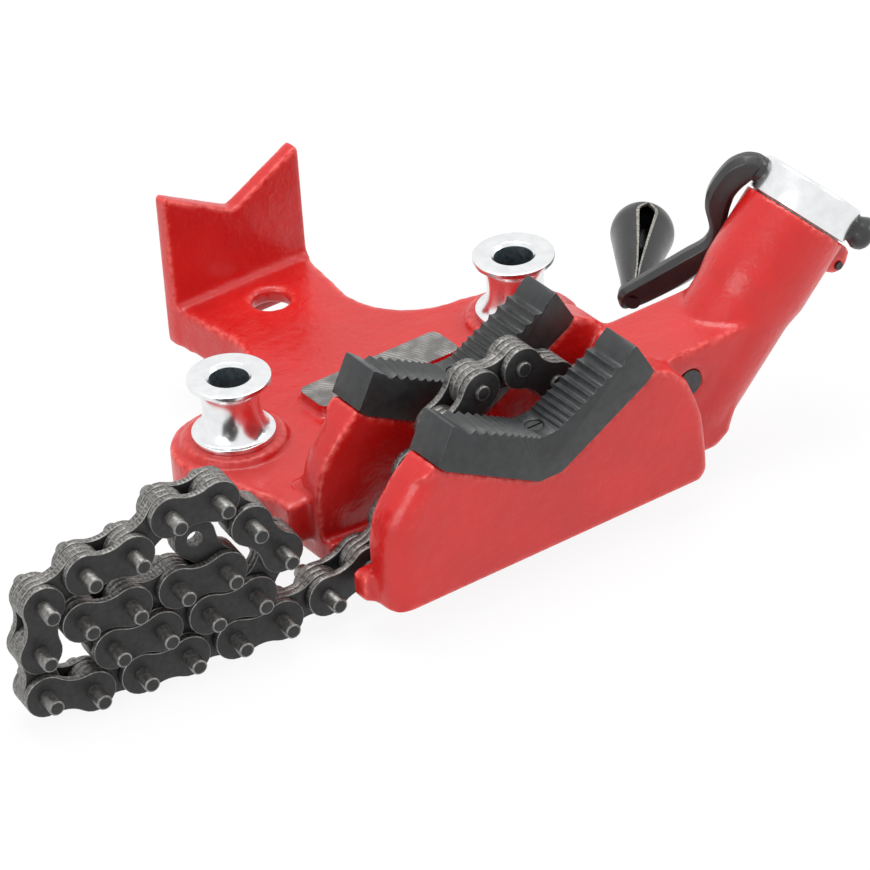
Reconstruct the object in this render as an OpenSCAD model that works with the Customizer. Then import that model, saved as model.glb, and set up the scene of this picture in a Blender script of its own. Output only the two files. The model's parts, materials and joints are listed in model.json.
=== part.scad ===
// Chain pipe vise for a bench: a red casting with a pair of toothed jaws, a leaf
// chain that straps the pipe into them, and a screw with a swinging crank.
// X runs along the jaws, Y from the front walls to the rear rest, Z up from the
// bench face. The origin lies halfway between the two spools.

/* [Bench plate] */
// Height of the plate's top above the bench face
plate_h = 17.5; // [14:0.5:24]
// Thickness of the plate's skin
plate_t = 7; // [4:0.5:8]
// Width of the skirt round the plate's edge
skirt_w = 7; // [5:0.5:9]
// Half the distance between the two spools
spool_x = 65.5; // [60:0.5:72]
// Radius of the lobe round each spool
lobe_r = 24.5; // [22:0.5:27]
// Distance of the rear bolt hole from the line of the spools
rear_hole_y = 74.5; // [64:0.5:80]
// Half width of the plate's waist
waist_x = 26.3; // [23:0.5:30]
// Radius of the curve between waist and lobe
waist_r = 31.2; // [28:0.5:34]
// Radius of the bench bolts
bolt_r = 6.35; // [5:0.05:7]
// Radial room round a bench bolt
bolt_room = 1.2; // [0.4:0.1:2]
// Width of the ribs under the plate
rib_w = 9; // [6:0.5:14]
// Height of the milled pad above the plate
pad_h = 5; // [3:0.5:7]
// Length of the milled pad
pad_l = 63.6; // [50:0.5:80]
// Width of the milled pad
pad_w = 17.4; // [12:0.5:22]

/* [Rear rest] */
// Thickness of the rest
rest_t = 7.7; // [6:0.1:10]
// Height of the rest's tips above the bench face
rest_tip_z = 66.4; // [60:0.5:75]
// Height of the bottom of the rest's V
rest_v_z = 50.5; // [46:0.5:56]
// Half width of the rest
rest_x = 31.5; // [28:0.5:36]
// Place of the rest's back face
rest_y = 100; // [96:0.5:106]

/* [Walls] */
// Middle of the chain's path, measured from the line of the spools
chain_y = -71.55; // [-76:0.05:-68]
// Width of the slot between the two walls
slot_w = 31.7; // [31:0.1:34]
// Thickness of each wall
wall_t = 16.5; // [13:0.5:20]
// Left end of the walls
wall_left = 66.4; // [62:0.1:70]
// Right end of the walls
wall_right = 77.1; // [74:0.1:82]
// How far the walls hang below the bench face
wall_drop = 9; // [6:0.5:12]
// Width of the ledges along the foot of the slot
ledge_w = 5; // [3:0.5:6.5]

/* [Jaws] */
// Middle of the jaws' V
jaw_x = 4.1; // [0:0.1:8]
// Height of the V's bottom
jaw_v_z = 41.4; // [38:0.1:45]
// Half width of the flat at the V's bottom
jaw_flat = 2.5; // [2:0.1:4]
// Angle of the flanks
jaw_angle = 28.4; // [24:0.1:32]
// Length of each flank
jaw_flank = 44.3; // [40:0.1:48]
// Thickness of a jaw square to its flank
jaw_t = 16; // [13:0.5:18]
// Width of each jaw
jaw_w = 17.7; // [15:0.1:20]
// Pitch of the teeth at the V's bottom
tooth_fine = 2.3; // [1.8:0.1:3]
// Growth of the pitch from one tooth to the next
tooth_grow = 1.105; // [1.05:0.005:1.12]
// Depth of a tooth as a share of its pitch
tooth_depth = 0.36; // [0.2:0.02:0.5]
// Radius of a jaw screw's head
jaw_screw_head = 3.3; // [2.8:0.1:4]
// Radius of a jaw screw's shank
jaw_screw_r = 2.5; // [2:0.1:2.8]

/* [Spools] */
// Radius of the flanges
spool_r = 15.875; // [14:0.05:18]
// Height of the spool's top above the bench face
spool_top = 46; // [40:0.5:52]
// Radius of the spool's narrow middle
spool_neck = 11; // [10:0.1:13]
// Thickness of a flange's rim
spool_rim = 2.1; // [1.5:0.1:3]
// Radius of the boss under a spool
boss_r = 20; // [18:0.5:22]
// Height of the boss above the plate
boss_h = 3; // [2:0.5:5]

/* [Screw housing] */
// Where the housing's axis meets the bench face
tube_x = 83.3; // [80:0.1:87]
// Radius of the neck
tube_neck = 19.7; // [19:0.1:20.4]
// Radius of the head
tube_head = 21.1; // [20.6:0.1:22]
// Length of the head
head_l = 30; // [24:1:36]
// Length of the taper between neck and head
taper_l = 8; // [5:0.5:12]
// Distance of the nut's seat from the start of the housing
tube_l = 83.7; // [80:0.1:90]
// Radius of the bore
tube_bore = 13.5; // [13:0.1:14]
// Height of the flat on the block
block_top = 38.5; // [36:0.5:42]
// Half width of the block
block_w = 18.4; // [17:0.1:20]
// Place of the guide pin along the jaws
guide_x = 80.4; // [78:0.1:83]
// Height of the guide pin
guide_z = 24.1; // [23.5:0.1:27]
// Radius of the guide pin
guide_r = 5.25; // [4.5:0.05:5.5]

/* [Nut and screw] */
// Radius of the nut's collar
collar_r = 20.9; // [20:0.1:22.5]
// Height of the collar
collar_h = 13.8; // [13:0.1:16]
// Radius of the nut's hub inside the housing
hub_r = 13.42; // [13:0.01:13.42]
// Length of the hub
hub_l = 34; // [28:1:38]
// Thickness of the thrust washer
washer_t = 1.5; // [1:0.1:2.5]
// Radius of the screw
screw_r = 8; // [7:0.1:9]
// Reach of the lug from the housing's axis
lug_r = 32; // [30:0.5:34]
// Half thickness of the lug
lug_t = 8; // [7:0.5:9]
// Radius of the keeper's pin
keeper_pin_r = 1.6; // [1.2:0.1:2]

/* [Crank] */
// Radius of the shank inside the collar
shank_r = 5.2; // [4.5:0.1:5.6]
// Length of the stub beyond the collar's middle
stub_l = 30; // [27:0.5:34]
// Thickness of the forged arm
arm_t = 8.6; // [7:0.1:10]
// Length of the grip
grip_l = 54.5; // [46:0.5:60]
// Radius of the grip's round end
grip_r = 12.5; // [10:0.5:14]
// Radius of the grip where it meets the arm
grip_small = 4.6; // [4.4:0.1:7]
// Thickness of the grip's rolled sheet
grip_wall = 1.3; // [1:0.1:2]
// Radius of the grip's rivet
rivet_r = 3; // [2.5:0.1:3.6]

/* [Chain] */
// Distance between two pins of the chain
pitch = 19.05; // [19:0.01:19.1]
// Radius of a plate's round ends
plate_r = 8.4; // [8:0.1:8.6]
// Thickness of a plate
leaf_t = 2.9; // [2.5:0.1:3]
// Radius of the chain's pins
pin_r = 3.1; // [2.6:0.1:3.4]
// Half length of the long pins
long_pin = 14.5; // [12:0.1:14.6]
// Half length of the short pins
short_pin = 7.5; // [7.2:0.1:7.8]
// Room beside the plates of the next link
leaf_gap = 0.4; // [0.35:0.01:0.45]
// Radial room of the pins in the inner plates
pin_room = 0.15; // [0.12:0.01:0.2]

/* [Hidden] */
$fn = 64;

paint = [0.80, 0.07, 0.06];
bright = [0.86, 0.88, 0.90];
dark = [0.16, 0.17, 0.18];
leaf_grey = [0.38, 0.39, 0.40];
fit = 0.06;       // running fit of pins and shafts
seat = 0.02;      // gap of a pressed joint
rim_gap = 0.5;    // gap between the housing's rim and the collar
washer_seat = tube_head - 2;
bolt_hole = bolt_r + bolt_room;

// Walls and jaws
wall_in = slot_w / 2;
wall_out = wall_in + wall_t;
jaw_out = wall_in + jaw_w;
jaw_dir = [cos(jaw_angle), sin(jaw_angle)];
jaw_down = [sin(jaw_angle), -cos(jaw_angle)];
tip = [jaw_flat, 0] + jaw_flank * jaw_dir;
heel = tip + jaw_t * jaw_down;
chin = heel - 4.6 * jaw_dir + 1.4 * jaw_down;
jaw_low = -jaw_t / cos(jaw_angle) - 0.2;
jaw_low_x = chin[0] - (chin[1] - jaw_low) / tan(jaw_angle);

// Housing axis: points at a distance from the nut's seat, positive upwards
seat_x = tube_x + 4.2 + tube_l * cos(45);
function on_axis(s) = [seat_x + s * cos(45), chain_y, seat_x - tube_x + s * cos(45)];
module along_axis(s) translate(on_axis(s)) rotate([0, 45, 0]) children();

// Chain: heading and yaw of each link, from the screw to the free end
eye_s = -58.2;
headings = [225, 188, 151, 137.5, 138.5, 141, 187, 221, 232, 232, 215, 197,
    190, 183.5, 181, 181.5, 181.5, 166, 91, 81, 23.5, 3.5, 34.5, 0.5,
    -51.5, -54.5, -128, -177.5, -179, -178.5, -235.5, -361, -357.5, -359.5, -238.5];
coil_yaw = -8;
yaw_from = 10;
yaw_steps = 4;
function yaw(i) = coil_yaw * max(0, min(yaw_steps, i - yaw_from + 1)) / yaw_steps;
function step(i) = pitch * [cos(headings[i]) * cos(yaw(i)), cos(headings[i]) * sin(yaw(i)),
    sin(headings[i])];
function joint_at(i) = i == 0 ? on_axis(eye_s) : joint_at(i - 1) + step(i - 1);

// Crank: its own axes, from the shank's middle in the collar
crank_s = collar_h / 2;
shank_dir = [-0.5985, 0.5325, 0.5985];
hang_dir = [-0.4503, 0.3966, -0.8000];
unit_s = shank_dir / norm(shank_dir);
grip_dir = cross(unit_s, hang_dir) / norm(cross(unit_s, hang_dir));
unit_t = cross(grip_dir, unit_s);
crank_at = on_axis(crank_s);
module crank_frame() multmatrix([
    [unit_s[0], unit_t[0], grip_dir[0], crank_at[0]],
    [unit_s[1], unit_t[1], grip_dir[1], crank_at[1]],
    [unit_s[2], unit_t[2], grip_dir[2], crank_at[2]],
    [0, 0, 0, 1]]) children();
// Edges of the arm in the plane of shank and arm: outer side, then inner side
outer_edge = [[21.4, -4.9], [23, -5.2], [25.8, -4.7], [29.6, -2.2], [32.6, 3], [33.4, 9], [33, 15.6],
    [31.6, 21], [28.8, 25.6], [25.2, 29], [22.4, 32], [21, 35.6], [21.4, 39.8], [24, 46.4],
    [28.4, 59], [32.2, 70], [34, 75], [33, 78.6], [30.4, 80.6]];
inner_edge = [[21.4, 4.6], [21.5, 5.4], [21.6, 6.4], [21.8, 7.8], [22.1, 9.6], [22.3, 12], [22.2, 14.8],
    [21.4, 17.6], [20.4, 20.6], [18.8, 24.2], [16.8, 28.4], [14.8, 33], [12.8, 38.2], [12.4, 46],
    [14.8, 55.8], [17.6, 62.6], [20.2, 68.6], [22.4, 73.6], [24.6, 77.8], [27.4, 80.4]];
grip_at = [27.8, 75.1];

function arc(c, r, a, b, n) = [for (i = [0:n]) c + r * [cos(a + (b - a) * i / n), sin(a + (b - a) * i / n)]];
function flip(p) = [for (i = [len(p) - 1:-1:0]) [-p[i][0], p[i][1]]];

// A prism whose outline is drawn in X and Z, standing between two Y values
module slab(y0, y1) translate([0, y1, 0]) rotate([90, 0, 0]) linear_extrude(y1 - y0) children();

// ---- Base casting ----------------------------------------------------------

module plate_outline(inset = 0) {
    fillet_y = lobe_r + 2.3 + waist_r;
    front = chain_y + wall_in + 4;
    for (side = [-1, 1]) scale([side, 1]) {
        difference() {
            union() {
                polygon([[0, front], [spool_x + 11.5 - inset, front], [spool_x + 11.5 - inset, -44],
                    [spool_x + 17.5 - inset, -28], [spool_x + (lobe_r - inset) * 0.94, -8],
                    [spool_x, lobe_r - inset], [fillet_x(), fillet_y - waist_r - inset],
                    [fillet_x(), fillet_y], [waist_x + 0.01, fillet_y],
                    [rest_x - inset, rest_y - inset], [0, rest_y - inset]]);
                translate([spool_x, 0]) circle(lobe_r - inset);
            }
            translate([fillet_x(), fillet_y]) circle(waist_r + inset);
        }
    }
}

function fillet_x() = waist_x + waist_r;

module wall_outline() {
    low = -wall_drop;
    l = -wall_left;
    r = wall_right;
    top = jaw_v_z + heel[1];
    polygon(concat(
        [[l, low], [r - 4, low], [r, low + 4], [r, 2], [r - 0.3, 9.8], [r - 1.2, 19], [r - 3.4, 26.4],
            [r - 7, 35.8], [r - 13, 42.6], [jaw_x + heel[0], top]],
        [[jaw_x + chin[0], jaw_v_z + chin[1]], [jaw_x + jaw_low_x, jaw_v_z + jaw_low],
            [jaw_x - jaw_low_x, jaw_v_z + jaw_low], [jaw_x - chin[0], jaw_v_z + chin[1]],
            [jaw_x - heel[0], top]],
        [[l + 12.9, 41.7], [l + 9.5, 37.6], [l + 5.3, 32.7], [l + 2.3, 27.2], [l + 0.5, 20.6], [l, 15.9]]));
}

module rest_outline() {
    polygon(concat([[-rest_x, 1], [rest_x, 1]],
        arc([rest_x - 2, rest_tip_z - 2], 2, 0, 75, 6),
        arc([0, rest_v_z + 3.2], 3.2, -60, -120, 6),
        arc([-rest_x + 2, rest_tip_z - 2], 2, 105, 180, 6)));
}

module block_outline() {
    low = -wall_drop;
    top = block_top;
    polygon(concat([[54, low], [92, low], [98, -5], [104, 12], [112, 27.4], [121, top]],
        arc([64, top - 3], 3, 90, 150, 5), [[54, 26]]));
}

module base_casting() color(paint) {
    difference() {
        union() {
            // Plate with its skirt
            difference() {
                linear_extrude(plate_h) plate_outline();
                translate([0, 0, -1]) linear_extrude(plate_h - plate_t + 1) intersection() {
                    plate_outline(skirt_w);
                    translate([-200, chain_y + wall_out - 2]) square([400, 400]);
                }
            }
            // Ribs and bosses under the plate, and bosses under the spools
            translate([-spool_x, -rib_w / 2, 0]) cube([2 * spool_x, rib_w, plate_h - 1]);
            translate([-rib_w / 2, 0, 0]) cube([rib_w, rear_hole_y - bolt_hole - 5, plate_h - 1]);
            translate([-rib_w / 2, chain_y + wall_out - 2, 0]) cube([rib_w, 40, plate_h - 1]);
            for (x = [-spool_x, spool_x]) translate([x, 0, 0]) {
                cylinder(r = boss_r - 3, h = plate_h - 1);
                translate([0, 0, plate_h - 1]) cylinder(r = boss_r, h = boss_h + 1);
            }
            // Milled pad, with round corners
            translate([0, -1.7, plate_h - 1]) linear_extrude(pad_h + 1) {
                square([pad_l - 6, pad_w], center = true);
                square([pad_l, pad_w - 6], center = true);
                for (x = [-1, 1], y = [-1, 1])
                    translate([x * (pad_l / 2 - 3), y * (pad_w / 2 - 3)]) circle(3);
            }
            // Rear rest and the weld of its foot
            slab(rest_y - rest_t, rest_y) rest_outline();
            translate([-rest_x + 0.5, rest_y - rest_t - 4, plate_h - 0.5]) rotate([90, 0, 90])
                linear_extrude(2 * rest_x - 1) difference() {
                    square([5, 4.5]);
                    translate([0, 4.5]) circle(4);
                }
            // Two walls, the floor between them and the ledges of the slot
            for (side = [-1, 1])
                slab(chain_y + (side > 0 ? wall_in : -wall_out), chain_y + (side > 0 ? wall_out : -wall_in))
                    wall_outline();
            slab(chain_y + wall_out - 9, chain_y + wall_out + 6)
                polygon([[-spool_x - 8, 2], [spool_x + 8, 2], [spool_x + 8, plate_h], [-spool_x - 8, plate_h]]);
            translate([0, chain_y, 0]) {
                slab(-wall_in - 1, wall_in + 1)
                    polygon([[-8, -wall_drop], [34, -wall_drop], [34, 0], [16, 19], [0, 19], [-8, 8]]);
                slab(wall_in - ledge_w, wall_in + 1)
                    polygon([[-wall_left + 1, -wall_drop], [wall_right - 8, -wall_drop],
                        [wall_right - 8, -3], [-18, -3], [-wall_left + 1, 0.3]]);
                slab(-wall_in - 1, -wall_in + ledge_w)
                    polygon([[-wall_left + 1, -wall_drop], [wall_right - 8, -wall_drop],
                        [wall_right - 8, -3], [-18, -3], [-wall_left + 1, 4]]);
                slab(-wall_in - 3, -wall_in + ledge_w)
                    polygon([[-wall_left - 4.4, -wall_drop + 2], [-wall_left + 2, -wall_drop],
                        [-wall_left + 2, 4], [-wall_left - 4.4, 3]]);
                slab(-block_w, block_w) block_outline();
            }
            // Screw housing: neck, taper and head, with a seat for the washer
            along_axis(0) rotate_extrude() polygon([[0, -tube_l], [tube_neck, -tube_l],
                [tube_neck, -head_l - taper_l], [tube_head, -head_l], [tube_head, -rim_gap],
                [washer_seat, -rim_gap], [washer_seat, -washer_t], [0, -washer_t]]);
            along_axis(-13 - washer_t) lug();
            along_axis(-tube_l + 14) translate([12, -4, 0]) cube([tube_neck - 11, 8, tube_l - 34]);
        }
        // Bores for the bench bolts
        for (x = [-spool_x, spool_x]) translate([x, 0, -1]) cylinder(r = bolt_hole, h = plate_h + 10);
        for (x = [-spool_x, spool_x]) translate([x, 0, plate_h]) cylinder(r = spigot_r(), h = 10);
        translate([1.7, rear_hole_y, -1]) cylinder(r = bolt_hole, h = plate_h + 10);
        // Way of the chain from the slot into the housing, and its bore
        translate([0, chain_y, 0]) slab(-short_pin - 1.6, short_pin + 1.6)
            polygon([[32, -30], [100, -30], [104, 4], [118, 34.7], [112, 40.7], [96, 24],
                [88, 31], [74, 31], [68, 26], [46, 44], [32, 44]]);
        translate([0, chain_y, 0]) slab(-wall_in + ledge_w, wall_in - ledge_w)
            polygon([[-90, -30], [-21, -30], [-21, 3], [-34, 18], [-90, 18]]);
        along_axis(-tube_l + 12) cylinder(r = tube_bore, h = tube_l);
        along_axis(-13 - washer_t) lug_slot();
        translate([guide_x, chain_y, guide_z]) rotate([90, 0, 0])
            cylinder(r = guide_r + seat, h = 2 * block_w + 2, center = true);
        // Tapped holes of the jaw screws
        for (side = [-1, 1]) translate([jaw_x, chain_y + side * (wall_in + jaw_w / 2), jaw_v_z + jaw_low - 14])
            cylinder(r = jaw_screw_r + seat, h = 20);
        // Everything below the walls' foot
        translate([-150, -150, -wall_drop - 60]) cube([300, 300, 60]);
    }
}

function spigot_r() = bolt_hole + 3;

module lug() translate([0, lug_t, 0]) rotate([90, 0, 0]) linear_extrude(2 * lug_t)
    polygon([[washer_seat - 5, 1.2], [lug_r - 11.5, 1.2], [lug_r - 8, 1.8], [lug_r - 5.4, 2.4], [lug_r - 3.5, 3.3],
        [lug_r - 2.3, 4.5], [lug_r - 1.5, 6], [lug_r - 1.4, 8], [lug_r - 2.1, 10.1],
        [lug_r - 4.2, 13], [lug_r - 5.9, 13 + washer_t - rim_gap],
        [washer_seat + 0.2, 13 + washer_t - rim_gap], [washer_seat + 0.2, 12.5], [washer_seat - 5, 12.5]]);

module lug_slot() {
    translate([5, -3.1, 3.4]) cube([lug_r, 6.2, 6.2]);
    translate([lug_r - 5, 0, 6.5]) rotate([90, 0, 0])
        cylinder(r = keeper_pin_r + seat, h = 2 * lug_t + 2, center = true, $fn = 32);
}

// ---- Jaws ------------------------------------------------------------------

function tooth_at(i) = i == 0 ? 0.8 : tooth_at(i - 1) + tooth_fine * pow(tooth_grow, i - 1);
tooth_n = floor(ln(1 + (jaw_flank - 4.2) * (tooth_grow - 1) / tooth_fine) / ln(tooth_grow));

// Right flank from the bottom to the tip: crests on the flank, round gullets between
flank = [for (i = [0:tooth_n - 1], k = [0:5])
    let (w = tooth_fine * pow(tooth_grow, i), u = k / 6)
    [jaw_flat, 0] + (tooth_at(i) + w * u) * jaw_dir + w * tooth_depth * sin(180 * u) * jaw_down];

module jaw_outline() translate([jaw_x, jaw_v_z]) {
    half = concat([[0, 0], [jaw_flat, 0]], flank, [tip - 1.6 * jaw_dir, tip - 0.3 * jaw_dir,
        tip + 0.8 * jaw_down, heel, chin, [jaw_low_x, jaw_low], [0, jaw_low]]);
    polygon(concat(half, flip(half)));
}

module jaw(side) {
    y = chain_y + side * (wall_in + jaw_w / 2);
    color(dark) difference() {
        slab(y - jaw_w / 2, y + jaw_w / 2) jaw_outline();
        translate([jaw_x, y, jaw_v_z - 3]) cylinder(r = jaw_screw_head + 0.3, h = 4);
        translate([jaw_x, y, jaw_v_z - 40]) cylinder(r = jaw_screw_r + 0.2, h = 60);
    }
}

module front_jaw() jaw(-1);
module rear_jaw() jaw(1);

module jaw_screws() color(dark)
    for (side = [-1, 1]) translate([jaw_x, chain_y + side * (wall_in + jaw_w / 2), jaw_v_z]) difference() {
        union() {
            translate([0, 0, -3]) cylinder(r = jaw_screw_head, h = 2.6);
            translate([0, 0, jaw_low - 12]) cylinder(r = jaw_screw_r, h = 12 - jaw_low - 2);
        }
        translate([-5, -0.5, -1.4]) cube([10, 1, 2]);
    }

// ---- Spools ----------------------------------------------------------------

module spool(side) color(bright) translate([side * spool_x, 0, 0]) {
    low = plate_h + boss_h;
    mid = (spool_top + low) / 2;
    half = (spool_top - low) / 2;
    waist = half - spool_rim;
    rotate_extrude($fn = 96) difference() {
        polygon(concat([[bolt_hole, plate_h], [spigot_r() - seat, plate_h], [spigot_r() - seat, low],
            [spool_r - 0.3, low], [spool_r, low + 0.3], [spool_r, low + spool_rim]],
            [for (a = [-90:9:90]) [spool_r - 0.4 - (spool_r - spool_neck - 0.4) * cos(a), mid + waist * sin(a)]],
            [[spool_r, spool_top - spool_rim], [spool_r, spool_top - 0.4], [spool_r - 0.4, spool_top],
            [bolt_hole + 0.8, spool_top], [bolt_hole, spool_top - 0.8]]));
    }
}

module left_spool() spool(-1);
module right_spool() spool(1);

// ---- Guide pin, washer and keeper ------------------------------------------

module guide_pin() color(bright) translate([guide_x, chain_y, guide_z]) rotate([90, 0, 0])
    cylinder(r = guide_r, h = 2 * block_w - 0.8, center = true);

module thrust_washer() color(bright) along_axis(-washer_t + seat / 2) difference() {
    cylinder(r = washer_seat - 0.2, h = washer_t - seat);
    translate([0, 0, -1]) cylinder(r = hub_r + 0.2, h = washer_t + 2);
}

module keeper() color(dark) along_axis(-13 - washer_t) difference() {
    translate([hub_groove() + 0.3, -2.9, 3.6]) cube([lug_r - hub_groove() - 1.5, 5.8, 5.8]);
    translate([lug_r - 5, 0, 6.5]) rotate([90, 0, 0])
        cylinder(r = keeper_pin_r + seat, h = 20, center = true, $fn = 32);
}

module keeper_pin() color(bright) along_axis(-13 - washer_t) translate([lug_r - 5, 0, 6.5])
    rotate([90, 0, 0]) cylinder(r = keeper_pin_r, h = 2 * lug_t + 0.8, center = true, $fn = 32);

// ---- Nut and chain screw ---------------------------------------------------

function hub_groove() = hub_r - 2.6;

module nut_collar() color(bright) difference() {
    along_axis(0) rotate_extrude($fn = 96) polygon([[0, collar_h], [0, -5], [screw_r + fit, -5],
        [screw_r + fit, -hub_l], [hub_r, -hub_l], [hub_r, -11.4 - washer_t],
        [hub_groove(), -11.4 - washer_t], [hub_groove(), -1.6 - washer_t], [hub_r, -1.6 - washer_t],
        [hub_r, 0], [collar_r - 0.6, 0], [collar_r, 0.6], [collar_r, collar_h - 1.4],
        [collar_r - 1.2, collar_h]]);
    crank_frame() rotate([0, 90, 0]) cylinder(r = shank_r + fit, h = 80, center = true);
}

module chain_screw() color(bright) {
    ear_in = leaf_t + leaf_gap;
    along_axis(eye_s + 13) cylinder(r = screw_r, h = -eye_s - 13 - 9);
    difference() {
        union() {
            along_axis(eye_s + 10.5) cylinder(r = tube_bore - 0.5, h = 4);
            for (side = [-1, 1]) intersection() {
                along_axis(eye_s) {
                    translate([-7, side > 0 ? ear_in : -short_pin, 0]) cube([14, short_pin - ear_in, 12]);
                    translate([0, side > 0 ? ear_in : -short_pin, 0]) rotate([-90, 0, 0])
                        cylinder(r = 7, h = short_pin - ear_in);
                }
                along_axis(eye_s - 12) cylinder(r = tube_bore - 0.5, h = 40);
            }
        }
        along_axis(eye_s) rotate([90, 0, 0]) cylinder(r = pin_r + seat, h = 40, center = true);
    }
}

module screw_pin() color(bright) along_axis(eye_s) rotate([90, 0, 0])
    cylinder(r = pin_r, h = 2 * short_pin - 0.2, center = true);

// ---- Crank and grip --------------------------------------------------------

// Forged arm between its two edges, relieved where it passes the housing
module arm_body() crank_frame() linear_extrude(arm_t, center = true)
    polygon(concat(outer_edge, [for (i = [len(inner_edge) - 1:-1:0]) inner_edge[i]]));

module crank_handle() color(dark) {
    difference() {
        arm_body();
        along_axis(-70) cylinder(r = tube_head + 0.5, h = 70);
        crank_frame() translate([grip_at[0], grip_at[1], 0])
            cylinder(r = rivet_r + seat, h = 30, center = true);
    }
    crank_frame() rotate([0, 90, 0]) translate([0, 0, -stub_l]) {
        cylinder(r = shank_r, h = stub_l + 22);
        translate([0, 0, 2]) cylinder(r = shank_r + 1.5, h = 3.5);
        cylinder(r1 = shank_r - 0.6, r2 = shank_r + 1.5, h = 2);
    }
}

// Frame of the grip: its axis leaves the arm on the side away from the walls
module grip_frame() crank_frame() translate([grip_at[0], grip_at[1], 0]) rotate([180, 0, 0]) children();

module grip_rivet() color(dark) grip_frame() translate([0, 0, -arm_t / 2]) {
    cylinder(r = rivet_r, h = arm_t + 12);
    translate([0, 0, arm_t + 8]) cylinder(r = rivet_r + 1.2, h = 2.5);
}

// Rolled sheet: a cone that runs into a ball, with a seam that gapes towards the ball
grip_c = grip_l - grip_r;
grip_tilt = acos(grip_r / norm([grip_small, grip_c])) - atan2(grip_c, grip_small);
function ball(r, a) = [r * cos(a), grip_c + r * sin(a)];
module grip() color(dark) grip_frame() translate([0, 0, arm_t / 2 + 0.3]) difference() {
    rotate_extrude($fn = 72) polygon(concat(
        [[rivet_r + fit, 0], [grip_small, 0]],
        [for (i = [0:10]) ball(grip_r, grip_tilt + (81 - grip_tilt) * i / 10)],
        [[0, grip_c + grip_r * sin(81)], [0, grip_c + (grip_r - grip_wall) * sin(81)]],
        [for (i = [10:-1:0]) ball(grip_r - grip_wall, grip_tilt + (81 - grip_tilt) * i / 10)],
        [[grip_small + 6.6 * tan(-grip_tilt) - grip_wall / cos(grip_tilt), 6.6], [rivet_r + fit, 6.6]]));
    rotate([0, 0, seam_turn]) seam();
}

seam_turn = 66;
module seam() rotate([90, 0, 90]) linear_extrude(grip_r + 2)
    polygon([[-0.5, 9.5], [0.5, 9.5], [2.2, grip_l - 15], [0.6, grip_l - 9], [-0.8, grip_l - 10]]);

// ---- Chain -----------------------------------------------------------------

waist_k = 13;
lobe_gap = sqrt(pow(plate_r + waist_k, 2) - pow(pitch / 2, 2));
function tangent() = plate_r / (plate_r + waist_k) * [pitch / 2, lobe_gap];

// One leaf: two round ends with a waist between them, drawn in X and Z
module leaf(y0, y1, hole) slab(y0, y1) difference() {
    union() {
        circle(plate_r);
        translate([pitch, 0]) circle(plate_r);
        difference() {
            translate([tangent()[0], -tangent()[1]]) square([pitch - 2 * tangent()[0], 2 * tangent()[1]]);
            for (side = [-1, 1]) translate([pitch / 2, side * lobe_gap]) circle(waist_k);
        }
    }
    circle(hole);
    translate([pitch, 0]) circle(hole);
}

module place(i) translate(joint_at(i)) rotate([0, -headings[i], yaw(i)]) children();

module inner_link(i) color(leaf_grey) place(i)
    for (side = [-1, 1]) leaf(side > 0 ? 0.1 : -leaf_t, side > 0 ? leaf_t : -0.1, pin_r + pin_room);

module outer_link(i, pin, far_pin) place(i) {
    color(leaf_grey) for (side = [-1, 1])
        leaf(side > 0 ? leaf_t + leaf_gap : -2 * leaf_t - leaf_gap,
            side > 0 ? 2 * leaf_t + leaf_gap : -leaf_t - leaf_gap, pin_r + seat);
    color(bright) for (e = [[0, pin], [pitch, far_pin]]) translate([e[0], 0, 0]) rotate([90, 0, 0]) {
        cylinder(r = pin_r, h = 2 * e[1] - 0.8, center = true);
        for (end = [0, 180]) rotate([end, 0, 0]) translate([0, 0, e[1] - 0.4])
            cylinder(r1 = pin_r, r2 = pin_r - 0.4, h = 0.4);
    }
}

// Links alternate from the screw on: an inner link first, then an outer one
first_long = 12;
module link(n) if (n % 2 == 1) inner_link(n - 1);
    else outer_link(n - 1, n > first_long ? long_pin : short_pin, n >= first_long ? long_pin : short_pin);

module link_01() link(1);
module link_02() link(2);
module link_03() link(3);
module link_04() link(4);
module link_05() link(5);
module link_06() link(6);
module link_07() link(7);
module link_08() link(8);
module link_09() link(9);
module link_10() link(10);
module link_11() link(11);
module link_12() link(12);
module link_13() link(13);
module link_14() link(14);
module link_15() link(15);
module link_16() link(16);
module link_17() link(17);
module link_18() link(18);
module link_19() link(19);
module link_20() link(20);
module link_21() link(21);
module link_22() link(22);
module link_23() link(23);
module link_24() link(24);
module link_25() link(25);
module link_26() link(26);
module link_27() link(27);
module link_28() link(28);
module link_29() link(29);
module link_30() link(30);
module link_31() link(31);
module link_32() link(32);
module link_33() link(33);
module link_34() link(34);
module link_35() link(35);

base_casting();
front_jaw();
rear_jaw();
jaw_screws();
left_spool();
right_spool();
guide_pin();
thrust_washer();
keeper();
keeper_pin();
nut_collar();
chain_screw();
screw_pin();
crank_handle();
grip_rivet();
grip();
link_01();
link_02();
link_03();
link_04();
link_05();
link_06();
link_07();
link_08();
link_09();
link_10();
link_11();
link_12();
link_13();
link_14();
link_15();
link_16();
link_17();
link_18();
link_19();
link_20();
link_21();
link_22();
link_23();
link_24();
link_25();
link_26();
link_27();
link_28();
link_29();
link_30();
link_31();
link_32();
link_33();
link_34();
link_35();
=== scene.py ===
"""Looks of a bench chain pipe vise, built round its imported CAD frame.

The classes give their sizes in millimetres, in the frame of the CAD: X along the
two walls, Y away from the camera's side, Z up. A size becomes metres only where
a mesh is made.
"""

from __future__ import annotations

import json
import logging
import math
from collections.abc import Iterator
from contextlib import contextmanager
from dataclasses import dataclass
from enum import Enum
from typing import Any, Sequence

import bmesh
import bpy
import numpy as np
from mathutils import Matrix, Vector

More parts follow.
